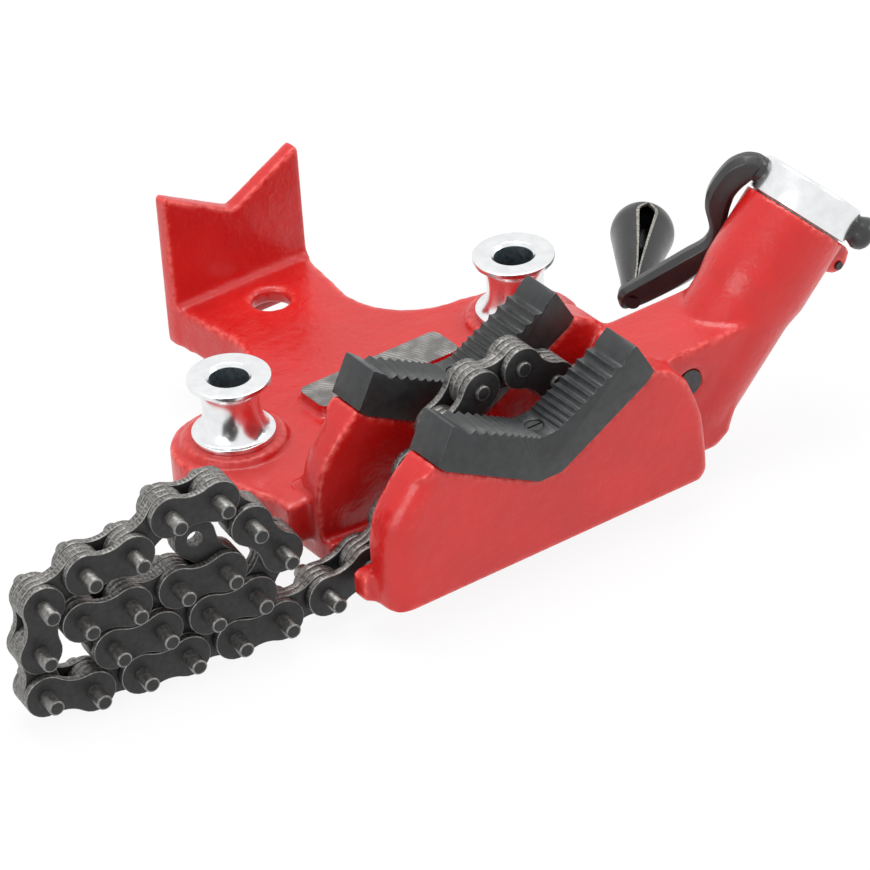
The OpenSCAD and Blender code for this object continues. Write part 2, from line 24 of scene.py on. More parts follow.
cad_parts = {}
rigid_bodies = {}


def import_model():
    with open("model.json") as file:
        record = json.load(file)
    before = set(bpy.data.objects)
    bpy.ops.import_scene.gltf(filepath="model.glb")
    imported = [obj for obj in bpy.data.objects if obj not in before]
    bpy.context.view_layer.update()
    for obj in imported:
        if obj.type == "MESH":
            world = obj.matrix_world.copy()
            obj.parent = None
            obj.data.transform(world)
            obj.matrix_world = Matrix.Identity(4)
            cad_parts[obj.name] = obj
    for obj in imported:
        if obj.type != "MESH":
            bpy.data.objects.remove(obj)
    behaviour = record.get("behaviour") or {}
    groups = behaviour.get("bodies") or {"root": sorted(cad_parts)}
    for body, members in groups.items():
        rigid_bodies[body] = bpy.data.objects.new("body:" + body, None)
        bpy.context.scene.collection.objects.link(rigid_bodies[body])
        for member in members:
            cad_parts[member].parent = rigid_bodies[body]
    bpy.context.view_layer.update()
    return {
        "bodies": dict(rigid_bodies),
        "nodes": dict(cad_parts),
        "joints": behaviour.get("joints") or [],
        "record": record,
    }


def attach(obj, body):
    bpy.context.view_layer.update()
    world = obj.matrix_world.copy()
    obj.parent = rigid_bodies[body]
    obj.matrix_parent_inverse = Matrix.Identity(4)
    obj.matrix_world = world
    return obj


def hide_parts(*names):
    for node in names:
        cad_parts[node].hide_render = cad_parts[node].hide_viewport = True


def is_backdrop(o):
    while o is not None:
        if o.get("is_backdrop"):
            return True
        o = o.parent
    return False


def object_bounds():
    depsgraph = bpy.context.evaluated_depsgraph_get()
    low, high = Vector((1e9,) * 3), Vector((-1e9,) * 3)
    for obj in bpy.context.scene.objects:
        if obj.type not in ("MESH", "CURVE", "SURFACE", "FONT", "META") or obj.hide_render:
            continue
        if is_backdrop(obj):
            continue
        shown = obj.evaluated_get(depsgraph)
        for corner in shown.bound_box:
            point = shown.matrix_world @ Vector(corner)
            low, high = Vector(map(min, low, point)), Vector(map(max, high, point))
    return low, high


MM = 0.001
LOG = logging.getLogger("pipe_vise")
QUARTER = Matrix.Rotation(math.radians(90), 4, "Y")
Point = tuple[float, float]
Frame = dict[str, Any]


class Slot(Enum):
    """Material slots of the part's record."""

    CASTING = "casting"
    JAW = "jaw"
    JAW_SCREW = "jaw_screw"
    ZINC = "zinc"
    PIN = "pin_steel"
    CRANK = "crank"
    GRIP = "grip"
    CHAIN = "chain"


# ---- Nodes and colours --------------------------------------------------------


def colour(code: str) -> tuple[float, float, float, float]:
    """Turns an sRGB hex value to the linear colour that Blender's sockets take.

    Args:
        code: six hex digits, such as "C4120E".

    Returns:
        Linear red, green and blue, and an alpha of one.
    """
    parts = [int(code[i : i + 2], 16) / 255 for i in (0, 2, 4)]
    linear = [c / 12.92 if c <= 0.04045 else ((c + 0.055) / 1.055) ** 2.4 for c in parts]
    return (linear[0], linear[1], linear[2], 1.0)


def add(
    tree: bpy.types.NodeTree,
    kind: str,
    settings: dict[str, Any] | None = None,
    links: dict[Any, Any] | None = None,
) -> bpy.types.Node:
    """Adds a node with its settings and its inputs.

    Args:
        tree: node tree that gets the node.
        kind: Blender's name of the node's type.
        settings: properties to set on the node.
        links: input name or number, and a value, a socket, or a node whose first
            output is meant.

    Returns:
        The new node.
    """
    node = tree.nodes.new(kind)
    for key, value in (settings or {}).items():
        setattr(node, key, value)
    for key, value in (links or {}).items():
        if isinstance(value, bpy.types.Node):
            tree.links.new(value.outputs[0], node.inputs[key])
        elif isinstance(value, bpy.types.NodeSocket):
            tree.links.new(value, node.inputs[key])
        else:
            node.inputs[key].default_value = value
    return node


def blank(name: str) -> bpy.types.Material:
    """Makes a material whose node tree is empty."""
    made = bpy.data.materials.new(name)
    made.use_nodes = True
    made.node_tree.nodes.clear()
    return made


@dataclass(frozen=True)
class Finish:
    """A surface finish: a name, its main shader values and its pattern."""

    name: str
    metallic: float = 0.0
    roughness: float = 0.4
    coat: float = 0.0
    coat_roughness: float = 0.1

    def material(self) -> bpy.types.Material:
        """Builds the finish's material.

        Returns:
            A material whose pattern reads Object coordinates in millimetres.
        """
        made = bpy.data.materials.get(self.name)
        if made:
            return made
        made = blank(self.name)
        tree = made.node_tree
        shader = add(tree, "ShaderNodeBsdfPrincipled", None, {
            "Metallic": self.metallic, "Roughness": self.roughness,
            "Coat Weight": self.coat, "Coat Roughness": self.coat_roughness})
        add(tree, "ShaderNodeOutputMaterial", None, {"Surface": shader})
        place = add(tree, "ShaderNodeTexCoord")
        mm = add(tree, "ShaderNodeVectorMath", {"operation": "SCALE"},
                 {0: place.outputs["Object"], "Scale": 1 / MM})
        self.dress(tree, shader, mm.outputs[0])
        return made

    def dress(self, tree: bpy.types.NodeTree, shader: bpy.types.Node,
              mm: bpy.types.NodeSocket) -> None:
        """Adds the finish's colour, roughness and bump.

        Args:
            tree: the material's node tree.
            shader: its Principled shader.
            mm: Object coordinates in millimetres.
        """
        raise NotImplementedError

    def noise(self, tree: bpy.types.NodeTree, vector: bpy.types.NodeSocket, grain: float,
              low: float, high: float, detail: float = 2.0, bottom: float = 0.35,
              top: float = 0.65) -> bpy.types.NodeSocket:
        """Adds a noise whose middle is spread over a range.

        Args:
            tree: the material's node tree.
            vector: coordinates in millimetres.
            grain: size of one grain of the noise in millimetres.
            low: value where the noise is at its bottom.
            high: value where it is at its top.
            detail: number of finer octaves.
            bottom: raw value of the noise that gives low.
            top: raw value that gives high.

        Returns:
            The spread value.
        """
        grains = add(tree, "ShaderNodeTexNoise", None,
                     {"Vector": vector, "Scale": 1 / grain, "Detail": detail})
        return add(tree, "ShaderNodeMapRange", None, {
            "Value": grains.outputs[0], "From Min": bottom, "From Max": top,
            "To Min": low, "To Max": high}).outputs[0]

    def blend(self, tree: bpy.types.NodeTree, share: Any, under: Any,
              over: Any) -> bpy.types.NodeSocket:
        """Lays one colour over another.

        Args:
            tree: the material's node tree.
            share: how much of the upper colour shows.
            under: lower colour, or a hex value.
            over: upper colour, or a hex value.

        Returns:
            The blended colour.
        """
        pick = [colour(c) if isinstance(c, str) else c for c in (under, over)]
        return add(tree, "ShaderNodeMix", {"data_type": "RGBA"},
                   {0: share, 6: pick[0], 7: pick[1]}).outputs[2]

    def relief(self, tree: bpy.types.NodeTree,
               heights: Sequence[tuple[Any, float]]) -> bpy.types.NodeSocket:
        """Stacks bumps on each other.

        Args:
            tree: the material's node tree.
            heights: a height from 0 to 1, and how deep it is in millimetres.

        Returns:
            The bent normal.
        """
        normal = None
        for height, depth in heights:
            links = {"Height": height, "Distance": depth * MM, "Strength": 1.0}
            if normal:
                links["Normal"] = normal
            normal = add(tree, "ShaderNodeBump", None, links).outputs[0]
        return normal


@dataclass(frozen=True)
class Enamel(Finish):
    """Gloss red enamel, sprayed on sand-cast iron.

    The sand's grain shows through as a soft orange peel of one to two millimetres,
    with a few nibs of dust, and the edges are paler: partly thinned, rubbed film and partly a
    painted highlight.
    """

    body: str = "C6120E"
    deep: str = "BC0D0A"
    # Paler red of the edges: partly thinned, rubbed paint and partly a painted highlight
    edge: str = "E4564D"
    nib: str = "A30806"

    def dress(self, tree: bpy.types.NodeTree, shader: bpy.types.Node,
              mm: bpy.types.NodeSocket) -> None:
        """Adds the enamel's peel, nibs and paler edges, partly thinned paint and partly a painted
        highlight.
        """
        link = tree.links.new
        tone = self.noise(tree, mm, 28, 0, 1)
        base = self.blend(tree, tone, self.body, self.deep)
        # The edge attribute is one where the casting's skin turns sharply; there the red is
        # lightened, partly as thinned, rubbed paint and partly as a painted highlight
        edge = add(tree, "ShaderNodeAttribute", {"attribute_name": "edge"})
        rub_and_highlight_patches = self.noise(tree, mm, 2.6, 0, 1, 4, 0.4, 0.62)
        thin_paint_and_highlight = add(tree, "ShaderNodeMath", {"operation": "MULTIPLY"},
                   {0: edge.outputs["Fac"], 1: rub_and_highlight_patches}).outputs[0]
        base = self.blend(tree, thin_paint_and_highlight, base, self.edge)
        nibs = self.noise(tree, mm, 0.9, 0, 1, 1, 0.74, 0.8)
        base = self.blend(tree, nibs, base, self.nib)
        link(base, shader.inputs["Base Color"])
        peel = self.noise(tree, mm, 1.7, 0, 1, 2, 0.3, 0.7)
        sand = self.noise(tree, mm, 0.55, 0, 1, 2, 0.3, 0.7)
        waves = self.noise(tree, mm, 7, 0, 1, 2, 0.3, 0.7)
        link(self.relief(tree, [(waves, 0.22), (peel, 0.07), (sand, 0.022), (nibs, 0.05)]),
             shader.inputs["Normal"])
        link(self.noise(tree, mm, 5, self.roughness - 0.05, self.roughness + 0.07, 3),
             shader.inputs["Roughness"])


@dataclass(frozen=True)
class Milled(Finish):
    """Bare cast iron from a face mill: curved cutter marks, rubbed and unevenly grey."""

    centre: tuple[float, float, float] = (70.0, 34.0, 0.0)

    def dress(self, tree: bpy.types.NodeTree, shader: bpy.types.Node,
              mm: bpy.types.NodeSocket) -> None:
        """Adds the cutter's arcs and the rubs over them."""
        link = tree.links.new
        centred = add(tree, "ShaderNodeMapping", None, {"Vector": mm, "Location": self.centre})
        arcs = add(tree, "ShaderNodeTexWave", {"wave_type": "RINGS", "rings_direction": "Z"},
                   {"Vector": centred, "Scale": 0.22, "Distortion": 2.2, "Detail": 2.0,
                    "Detail Scale": 1.4}).outputs["Fac"]
        rubs = self.noise(tree, mm, 6, 0, 1, 4, 0.38, 0.62)
        grain = self.noise(tree, mm, 0.7, 0, 1, 3)
        base = self.blend(tree, arcs, "6F6D6B", "B9B7B4")
        base = self.blend(tree, rubs, base, "565452")
        link(self.blend(tree, 0.3, base, self.blend(tree, grain, "8C8A88", "A9A7A4")),
             shader.inputs["Base Color"])
        link(self.noise(tree, mm, 3, 0.28, 0.5, 3), shader.inputs["Roughness"])
        link(self.relief(tree, [(arcs, 0.03), (grain, 0.02)]), shader.inputs["Normal"])


@dataclass(frozen=True)
class Zinc(Finish):
    """Bright zinc plate on turned steel: near white, with fine rings from the tool."""

    body: str = "F0F1F2"
    shade: str = "E6E8E9"

    def dress(self, tree: bpy.types.NodeTree, shader: bpy.types.Node,
              mm: bpy.types.NodeSocket) -> None:
        """Adds the tool's rings along the turned profile, and faint clouds."""
        link = tree.links.new
        along = add(tree, "ShaderNodeAttribute", {"attribute_name": "along"})
        line = add(tree, "ShaderNodeCombineXYZ", None, {0: along.outputs["Fac"]}).outputs[0]
        # Feed marks are 0.1 mm apart on the real one, and 0.35 mm here, to show at all
        rings = self.noise(tree, line, 0.35, 0, 1, 2, 0.3, 0.7)
        clouds = self.noise(tree, mm, 5, 0, 1, 3)
        base = self.blend(tree, clouds, self.body, self.shade)
        link(base, shader.inputs["Base Color"])
        rough = add(tree, "ShaderNodeMapRange", None, {
            "Value": rings, "To Min": self.roughness - 0.05, "To Max": self.roughness + 0.08})
        link(rough.outputs[0], shader.inputs["Roughness"])
        link(self.relief(tree, [(rings, 0.006)]), shader.inputs["Normal"])


@dataclass(frozen=True)
class Steel(Finish):
    """Bare or darkened steel: a base, a second tone in patches, and fine scratches."""

    body: str = "8C8A87"
    patch: str = "6A6865"
    patch_size: float = 2.5
    grain: float = 0.5
    depth: float = 0.012
    spread: float = 0.08

    def dress(self, tree: bpy.types.NodeTree, shader: bpy.types.Node,
              mm: bpy.types.NodeSocket) -> None:
        """Adds the patches, the grain and the uneven gloss."""
        link = tree.links.new
        spots = self.noise(tree, mm, self.patch_size, 0, 1, 4, 0.36, 0.66)
        link(self.blend(tree, spots, self.body, self.patch), shader.inputs["Base Color"])
        grain = self.noise(tree, mm, self.grain, 0, 1, 3, 0.3, 0.7)
        link(self.noise(tree, mm, self.patch_size * 0.7, self.roughness - self.spread,
                        self.roughness + self.spread, 3), shader.inputs["Roughness"])
        link(self.relief(tree, [(spots, self.depth * 2), (grain, self.depth)]),
             shader.inputs["Normal"])


@dataclass(frozen=True)
class Sheared(Finish):
    """Edge of a stamped leaf: streaks across the plate's thickness, from the shear."""

    body: str = "8E8C89"
    streak: str = "4A4947"

    def dress(self, tree: bpy.types.NodeTree, shader: bpy.types.Node,
              mm: bpy.types.NodeSocket) -> None:
        """Adds streaks that are long across the leaf and short along its edge."""
        link = tree.links.new
        leaf = add(tree, "ShaderNodeAttribute", {"attribute_name": "leaf"})
        long = add(tree, "ShaderNodeVectorMath", {"operation": "MULTIPLY"},
                   {0: leaf.outputs["Vector"], 1: (1.0, 0.28, 1.0)}).outputs[0]
        streaks = self.noise(tree, long, 0.75, 0, 1, 3, 0.35, 0.65)
        link(self.blend(tree, streaks, self.body, self.streak), shader.inputs["Base Color"])
        link(self.noise(tree, mm, 1.4, self.roughness - 0.08, self.roughness + 0.1, 3),
             shader.inputs["Roughness"])
        link(self.relief(tree, [(streaks, 0.05)]), shader.inputs["Normal"])


@dataclass(frozen=True)
class Backdrop(Finish):
    """Plain pale floor: nearly white to the camera, white in gloss, and it keeps the shadow."""

    whiteness: float = 0.9

    def material(self) -> bpy.types.Material:
        """Builds the floor's material.

        Returns:
            A pale diffuse floor mixed with plain white for the camera.
        """
        made = blank(self.name)
        tree = made.node_tree
        pale = add(tree, "ShaderNodeBsdfDiffuse", None, {"Color": colour("F4F4F4")})
        white = add(tree, "ShaderNodeEmission", None, {"Color": (1, 1, 1, 1), "Strength": 1.0})
        path = add(tree, "ShaderNodeLightPath")
        seen = add(tree, "ShaderNodeMath", {"operation": "MAXIMUM"},
                   {0: path.outputs["Is Glossy Ray"], 1: path.outputs["Is Transmission Ray"]})
        camera = add(tree, "ShaderNodeMath", {"operation": "MULTIPLY"},
                     {0: path.outputs["Is Camera Ray"], 1: self.whiteness})
        share = add(tree, "ShaderNodeMath", {"operation": "MAXIMUM"}, {0: seen, 1: camera})
        mixed = add(tree, "ShaderNodeMixShader", None, {0: share, 1: pale, 2: white})
        add(tree, "ShaderNodeOutputMaterial", None, {"Surface": mixed})
        return made


ENAMEL = Enamel("Gloss red enamel on cast iron", roughness=0.36, coat=0.25, coat_roughness=0.16)
MILLED = Milled("Milled bare iron", metallic=0.85, roughness=0.38)
ZINC = Zinc("Bright zinc plate", metallic=1.0, roughness=0.2)
# Darker blue-grey zinc for the bores: painted shade inside the recess
BORE_SHADE = Steel("Zinc plate with painted bore shade", metallic=0.9, roughness=0.35, body="8E9BA1", patch="7A878D")
OXIDE = Steel("Black oxide on a forged jaw", roughness=0.42, body="2B2D2E", patch="232425",
              patch_size=4, grain=0.6, depth=0.015)
# Paler oxide for the jaws' bevelled edges: partly rubbed oxide and partly a painted highlight
CREST_WEAR_AND_HIGHLIGHT = Steel("Rubbed oxide and painted highlight on crests", metallic=0.5, roughness=0.36, body="5C5E60", patch="3A3C3D",
              patch_size=1.6, grain=0.5)
PIN = Steel("Bare turned steel", metallic=0.9, roughness=0.36, body="8F8E8B", patch="6E6C69",
            patch_size=1.6, grain=0.4)
PIN_END = Steel("Cropped steel end", metallic=0.8, roughness=0.42, body="93928F", patch="757370",
                patch_size=1.2, grain=0.35, depth=0.02)
OILED = Steel("Oiled dark steel leaf", metallic=0.35, roughness=0.44, body="2F2F30", patch="262627",
              patch_size=2.2, grain=0.5, depth=0.014)
SHEARED = Sheared("Sheared edge of a leaf", metallic=0.75, roughness=0.42)
RIM = Steel("Rubbed rim of a leaf", metallic=0.8, roughness=0.36, body="8E8D8A", patch="6B6A68",
            patch_size=1.2)
FORGED = Steel("Gloss black enamel on a forging", roughness=0.34, coat=0.2, coat_roughness=0.12,
               body="2B2B2C", patch="242425", patch_size=9, grain=2.2, depth=0.03, spread=0.04)
SHEET = Steel("Semi-gloss black on rolled sheet", roughness=0.27, coat=0.2, coat_roughness=0.15,
              body="1C1C1D", patch="181819", patch_size=7, grain=1.6, depth=0.02, spread=0.05)
LIP = Steel("Bare lip of rolled sheet", metallic=0.8, roughness=0.42, body="A09D97", patch="6E6A64",
            patch_size=0.9, grain=0.4, depth=0.04)
DARK_PIN = Steel("Black oxide on a pin", roughness=0.45, body="2E2E2F", patch="39393A",
                 patch_size=1.2, grain=0.4, depth=0.02)
FLOOR = Backdrop("Pale studio floor")


# ---- Meshes -------------------------------------------------------------------


@contextmanager
def edited(mesh: bpy.types.Mesh) -> Iterator[bmesh.types.BMesh]:
    """Opens a mesh for editing, and writes it back at the end."""
    bm = bmesh.new()
    bm.from_mesh(mesh)
    yield bm
    bm.to_mesh(mesh)
    bm.free()


def paint(mesh: bpy.types.Mesh, *finishes: Finish) -> None:
    """Puts finishes in a mesh's material slots, in place of what they held."""
    # Clearing puts every face back in slot 0, also where no slot is there yet
    if len(mesh.materials):
        mesh.materials.clear()
    for finish in finishes:
        mesh.materials.append(finish.material())


def read(items: Any, name: str, width: int, kind: type = float) -> np.ndarray:
    """Reads a property of all of a mesh's items, one row for each."""
    out = np.empty(len(items) * width, dtype=kind)
    items.foreach_get(name, out)
    return out.reshape(-1, width)


def keep(mesh: bpy.types.Mesh, name: str, values: Sequence[float]) -> None:
    """Keeps one number for each point as an attribute."""
    mesh.attributes.new(name, "FLOAT", "POINT").data.foreach_set("value", values)


def smooth(mesh: bpy.types.Mesh) -> None:
    """Shades all of a mesh's faces smooth."""
    mesh.polygons.foreach_set("use_smooth", [True] * len(mesh.polygons))


def bands(rings: int, n: int) -> list[list[int]]:
    """Joins rings of n points each with four-sided faces."""
    return [[k * n + i, k * n + (i + 1) % n, (k + 1) * n + (i + 1) % n, (k + 1) * n + i]
            for k in range(rings - 1) for i in range(n)]


def in_metres(place: Matrix) -> Matrix:
    """Turns a place in millimetres to one for a mesh in metres."""
    return Matrix.Scale(MM, 4) @ place @ Matrix.Scale(1 / MM, 4)


def piece(name: str, points: Sequence[Sequence[float]], faces: Sequence[Sequence[int]],
          finishes: Sequence[Finish], picks: Sequence[int] | None = None,
          outward: bool = True) -> bpy.types.Object:
    """Makes an object at the origin from points in millimetres.

    Args:
        name: the piece's name.
        points: the corners.
        faces: corner numbers of each face.
        finishes: the finishes, one for each material slot.
        picks: slot number of each face, or None for the first.
        outward: whether the faces are turned outwards together.

    Returns:
        The linked object, shaded smooth.
    """
    mesh = bpy.data.meshes.new(name)
    mesh.from_pydata([Vector(p) * MM for p in points], [], [list(f) for f in faces])
    paint(mesh, *finishes)
    if picks is not None:
        mesh.polygons.foreach_set("material_index", list(picks))
    if outward:
        with edited(mesh) as bm:
            bmesh.ops.recalc_face_normals(bm, faces=bm.faces)
    smooth(mesh)
    return put(name, mesh)


def put(name: str, mesh: bpy.types.Mesh) -> bpy.types.Object:
    """Links a mesh to the scene under a name."""
    thing = bpy.data.objects.new(name, mesh)
    bpy.context.scene.collection.objects.link(thing)
    return thing


def crisp(thing: bpy.types.Object, degrees: float) -> None:
    """Keeps edges sharper than an angle sharp, and shades the rest smooth."""
    smooth(thing.data)
    thing.data.set_sharp_from_angle(angle=math.radians(degrees))


def copy_of(frame: Frame, node: str, name: str) -> bpy.types.Object:
    """Copies a CAD node as a new piece, with its doubled corners merged.

    Args:
        frame: the loaded frame.
        node: the CAD node.
        name: the new piece's name.

    Returns:
        The new object, whose flat faces are whole again.
    """
    mesh = frame["nodes"][node].data.copy()
    mesh.name = name
    with edited(mesh) as bm:
        bmesh.ops.remove_doubles(bm, verts=bm.verts, dist=2e-6)
    mesh.materials.clear()
    if "custom_normal" in mesh.attributes:
        mesh.attributes.remove(mesh.attributes["custom_normal"])
    return put(name, mesh)


def settle(thing: bpy.types.Object) -> None:
    """Applies an object's modifiers, so that it is a plain mesh."""
    depsgraph = bpy.context.evaluated_depsgraph_get()
    made = bpy.data.meshes.new_from_object(
        thing.evaluated_get(depsgraph), preserve_all_data_layers=True, depsgraph=depsgraph)
    thing.modifiers.clear()
    thing.data = made


def softened(thing: bpy.types.Object, width: float, degrees: float = 35, slot: int = -1,
             segments: int = 2) -> None:
    """Bevels the sharp edges of a piece.

    Args:
        thing: the piece.
        width: the bevel's width in millimetres.
        degrees: least angle of an edge that is bevelled.
        slot: material slot of the bevel's faces, or -1 for that of its neighbours.
        segments: faces across the bevel.
    """
    bevel = thing.modifiers.new("Rounded edges", "BEVEL")
    bevel.width = width * MM
    bevel.segments = segments
    bevel.limit_method = "ANGLE"
    bevel.angle_limit = math.radians(degrees)
    bevel.material = slot
    bevel.use_clamp_overlap = True
    settle(thing)


def filleted(corners: Sequence[tuple[float, float, float]], steps: int = 4) -> list[Point]:
    """Rounds the corners of a closed outline.

    Args:
        corners: two coordinates and a radius each.
        steps: chords of each rounded corner.

    Returns:
        The rounded outline.
    """
    out: list[Point] = []
    count = len(corners)
    for i, (x, y, r) in enumerate(corners):
        here = Vector((x, y))
        before = Vector(corners[i - 1][:2]) - here
        after = Vector(corners[(i + 1) % count][:2]) - here
        if r <= 0 or before.length < 1e-9 or after.length < 1e-9:
            out.append((x, y))
            continue
        half = before.angle(after) / 2
        reach = min(r / math.tan(half), 0.49 * before.length, 0.49 * after.length)
        radius = reach * math.tan(half)
        a, b = before.normalized(), after.normalized()
        centre = here + (a + b).normalized() * radius / math.sin(half)
        start, end = here + a * reach - centre, here + b * reach - centre
        turn = start.angle_signed(end)
        for k in range(steps + 1):
            v = start.copy()
            v.rotate(Matrix.Rotation(-turn * k / steps, 2))
            out.append(tuple(centre + v))
    return out


def turned(name: str, profile: Sequence[Point], finishes: Sequence[Finish],
           picks: Sequence[int] | None, matrix: Matrix, steps: int = 96,
           closed: bool = True) -> bpy.types.Object:
    """Turns a profile round Z, with its length kept as the attribute along.

    Args:
        name: the piece's name.
        profile: radius and height of each point.
        finishes: one for each material slot.
        picks: slot number of each stretch of the profile, or None.
        matrix: place of the axis, in millimetres.
        steps: faces round.
        closed: whether the last point joins the first.

    Returns:
        The turned piece.
    """
    points: list[Vector] = []
    rings: list[list[int]] = []
    along: list[float] = []
    length = 0.0
    for i, (r, z) in enumerate(profile):
        if i:
            length += math.dist(profile[i - 1], profile[i])
        start = len(points)
        if r < 1e-6:
            points.append(Vector((0, 0, z)))
            rings.append([start] * steps)
            along.append(length)
            continue
        for k in range(steps):
            a = 2 * math.pi * k / steps
            points.append(Vector((r * math.cos(a), r * math.sin(a), z)))
            along.append(length)
        rings.append(list(range(start, start + steps)))
    faces, slots = [], []
    last = len(profile) if closed else len(profile) - 1
    for i in range(last):
        low, high = rings[i], rings[(i + 1) % len(profile)]
        for k in range(steps):
            n = (k + 1) % steps
            face = list(dict.fromkeys([low[k], low[n], high[n], high[k]]))
            if len(face) > 2:
                faces.append(face)
                slots.append(picks[i] if picks else 0)
    thing = piece(name, [matrix @ p for p in points], faces, finishes, slots)
    keep(thing.data, "along", along)
    crisp(thing, 30)
    return thing


def smoothed(values: np.ndarray, edges: np.ndarray, weight: np.ndarray, rounds: int) -> np.ndarray:
    """Moves every point towards the middle of its neighbours.

    Args:
        values: one row for each point.
        edges: pairs of point numbers.
        weight: how far each point moves, from 0 to 1.
        rounds: how often.

    Returns:
        The smoothed rows.
    """
    count = np.bincount(edges.ravel(), minlength=len(values)).astype(float)
    count[count == 0] = 1
    for _ in range(rounds):
        mean = np.empty_like(values)
        for axis in range(values.shape[1]):
            column = values[:, axis]
            total = np.bincount(edges[:, 0], column[edges[:, 1]], len(values))
            total += np.bincount(edges[:, 1], column[edges[:, 0]], len(values))
            mean[:, axis] = total / count
        values = values + weight[:, None] * (mean - values)
    return values


def dress(frame: Frame, node: str, *finishes: Finish) -> None:
    """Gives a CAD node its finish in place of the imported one."""
    paint(frame["nodes"][node].data, *finishes)


def stands_for(thing: bpy.types.Object, body: str, slot: Slot, *nodes: str) -> None:
    """Rides a piece on its body, in place of CAD nodes, and reports it.

    Args:
        thing: the finished piece.
        body: the body that it moves with.
        slot: its material slot in the record; not used.
        nodes: the CAD nodes that it stands for.
    """
    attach(thing, body)
    if nodes:
        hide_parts(*nodes)
    LOG.info("%s: %d faces on %s", thing.name, len(thing.data.polygons), body)


# ---- Studio -------------------------------------------------------------------


@dataclass
class Studio:
    """Camera, floor and lamps."""

    lens: float = 248.35
    place: tuple[float, float, float] = (-1038.56, -1616.72, 1226.61)
    right: tuple[float, float, float] = (0.8113552, -0.5812152, -0.0623833)
    up: tuple[float, float, float] = (0.3584190, 0.4103367, 0.8385462)
    back: tuple[float, float, float] = (-0.4617776, -0.7027182, 0.5412473)
    aim: tuple[float, float, float] = (20, -20, 25)
    floor_half: float = 4000

    def camera(self) -> None:
        """Sets the camera where the photograph was taken from."""
        data = bpy.data.cameras.new("Camera")
        data.lens = self.lens
        data.sensor_width = 36.0
        data.clip_start, data.clip_end = 0.05, 20.0
        thing = bpy.data.objects.new("Camera", data)
        turn = Matrix((self.right, self.up, self.back)).transposed()
        thing.matrix_world = Matrix.Translation(Vector(self.place) * MM) @ turn.to_4x4()
        bpy.context.scene.collection.objects.link(thing)
        bpy.context.scene.camera = thing

    def floor(self) -> None:
        """Lays the floor just under the lowest point of the part."""
        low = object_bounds()[0][2] / MM - 0.2
        corners = [(x * self.floor_half, y * self.floor_half, low)
                   for x, y in ((-1, -1), (1, -1), (1, 1), (-1, 1))]
        thing = piece("floor", corners, [(0, 1, 2, 3)], [FLOOR], outward=False)
        thing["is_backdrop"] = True

    def lamp(self, name: str, place: Sequence[float], size: float, power: float) -> None:
        """Hangs a soft square lamp that faces the part.

        Args:
            name: the lamp's name.
            place: where it hangs, in millimetres.
            size: its side in millimetres.
            power: its power in watts.
        """
        data = bpy.data.lights.new(name, "AREA")
        data.shape = "SQUARE"
        data.size = size * MM
        data.energy = power
        thing = bpy.data.objects.new(name, data)
        aim = Vector(self.aim) - Vector(place)
        thing.matrix_world = (Matrix.Translation(Vector(place) * MM)
                              @ aim.to_track_quat("-Z", "Y").to_matrix().to_4x4())
        bpy.context.scene.collection.objects.link(thing)

    def world(self) -> None:
        """Lights the room evenly, white to the camera."""
        world = bpy.data.worlds.new("Studio room")
        bpy.context.scene.world = world
        world.use_nodes = True
        tree = world.node_tree
        tree.nodes.clear()
        path = add(tree, "ShaderNodeLightPath")
        seen = add(tree, "ShaderNodeMath", {"operation": "MAXIMUM"},
                   {0: path.outputs["Is Camera Ray"], 1: path.outputs["Is Glossy Ray"]})
        strength = add(tree, "ShaderNodeMapRange", None, {
            "Value": seen, "To Min": 0.6, "To Max": 1.0})
        room = add(tree, "ShaderNodeBackground", None, {
            "Color": (1, 1, 1, 1), "Strength": strength.outputs[0]})
        add(tree, "ShaderNodeOutputWorld", None, {"Surface": room})

    def build(self) -> None:
        """Builds the whole studio."""
        self.camera()
        self.world()
        self.floor()
        self.lamp("Top softbox", (100, 200, 1500), 1100, 17)
        self.lamp("Left softbox", (-1500, -500, 700), 900, 9)
        self.lamp("Right softbox", (1300, -900, 900), 700, 7)
        bpy.context.scene.view_settings.view_transform = "Standard"


# ---- Casting ------------------------------------------------------------------


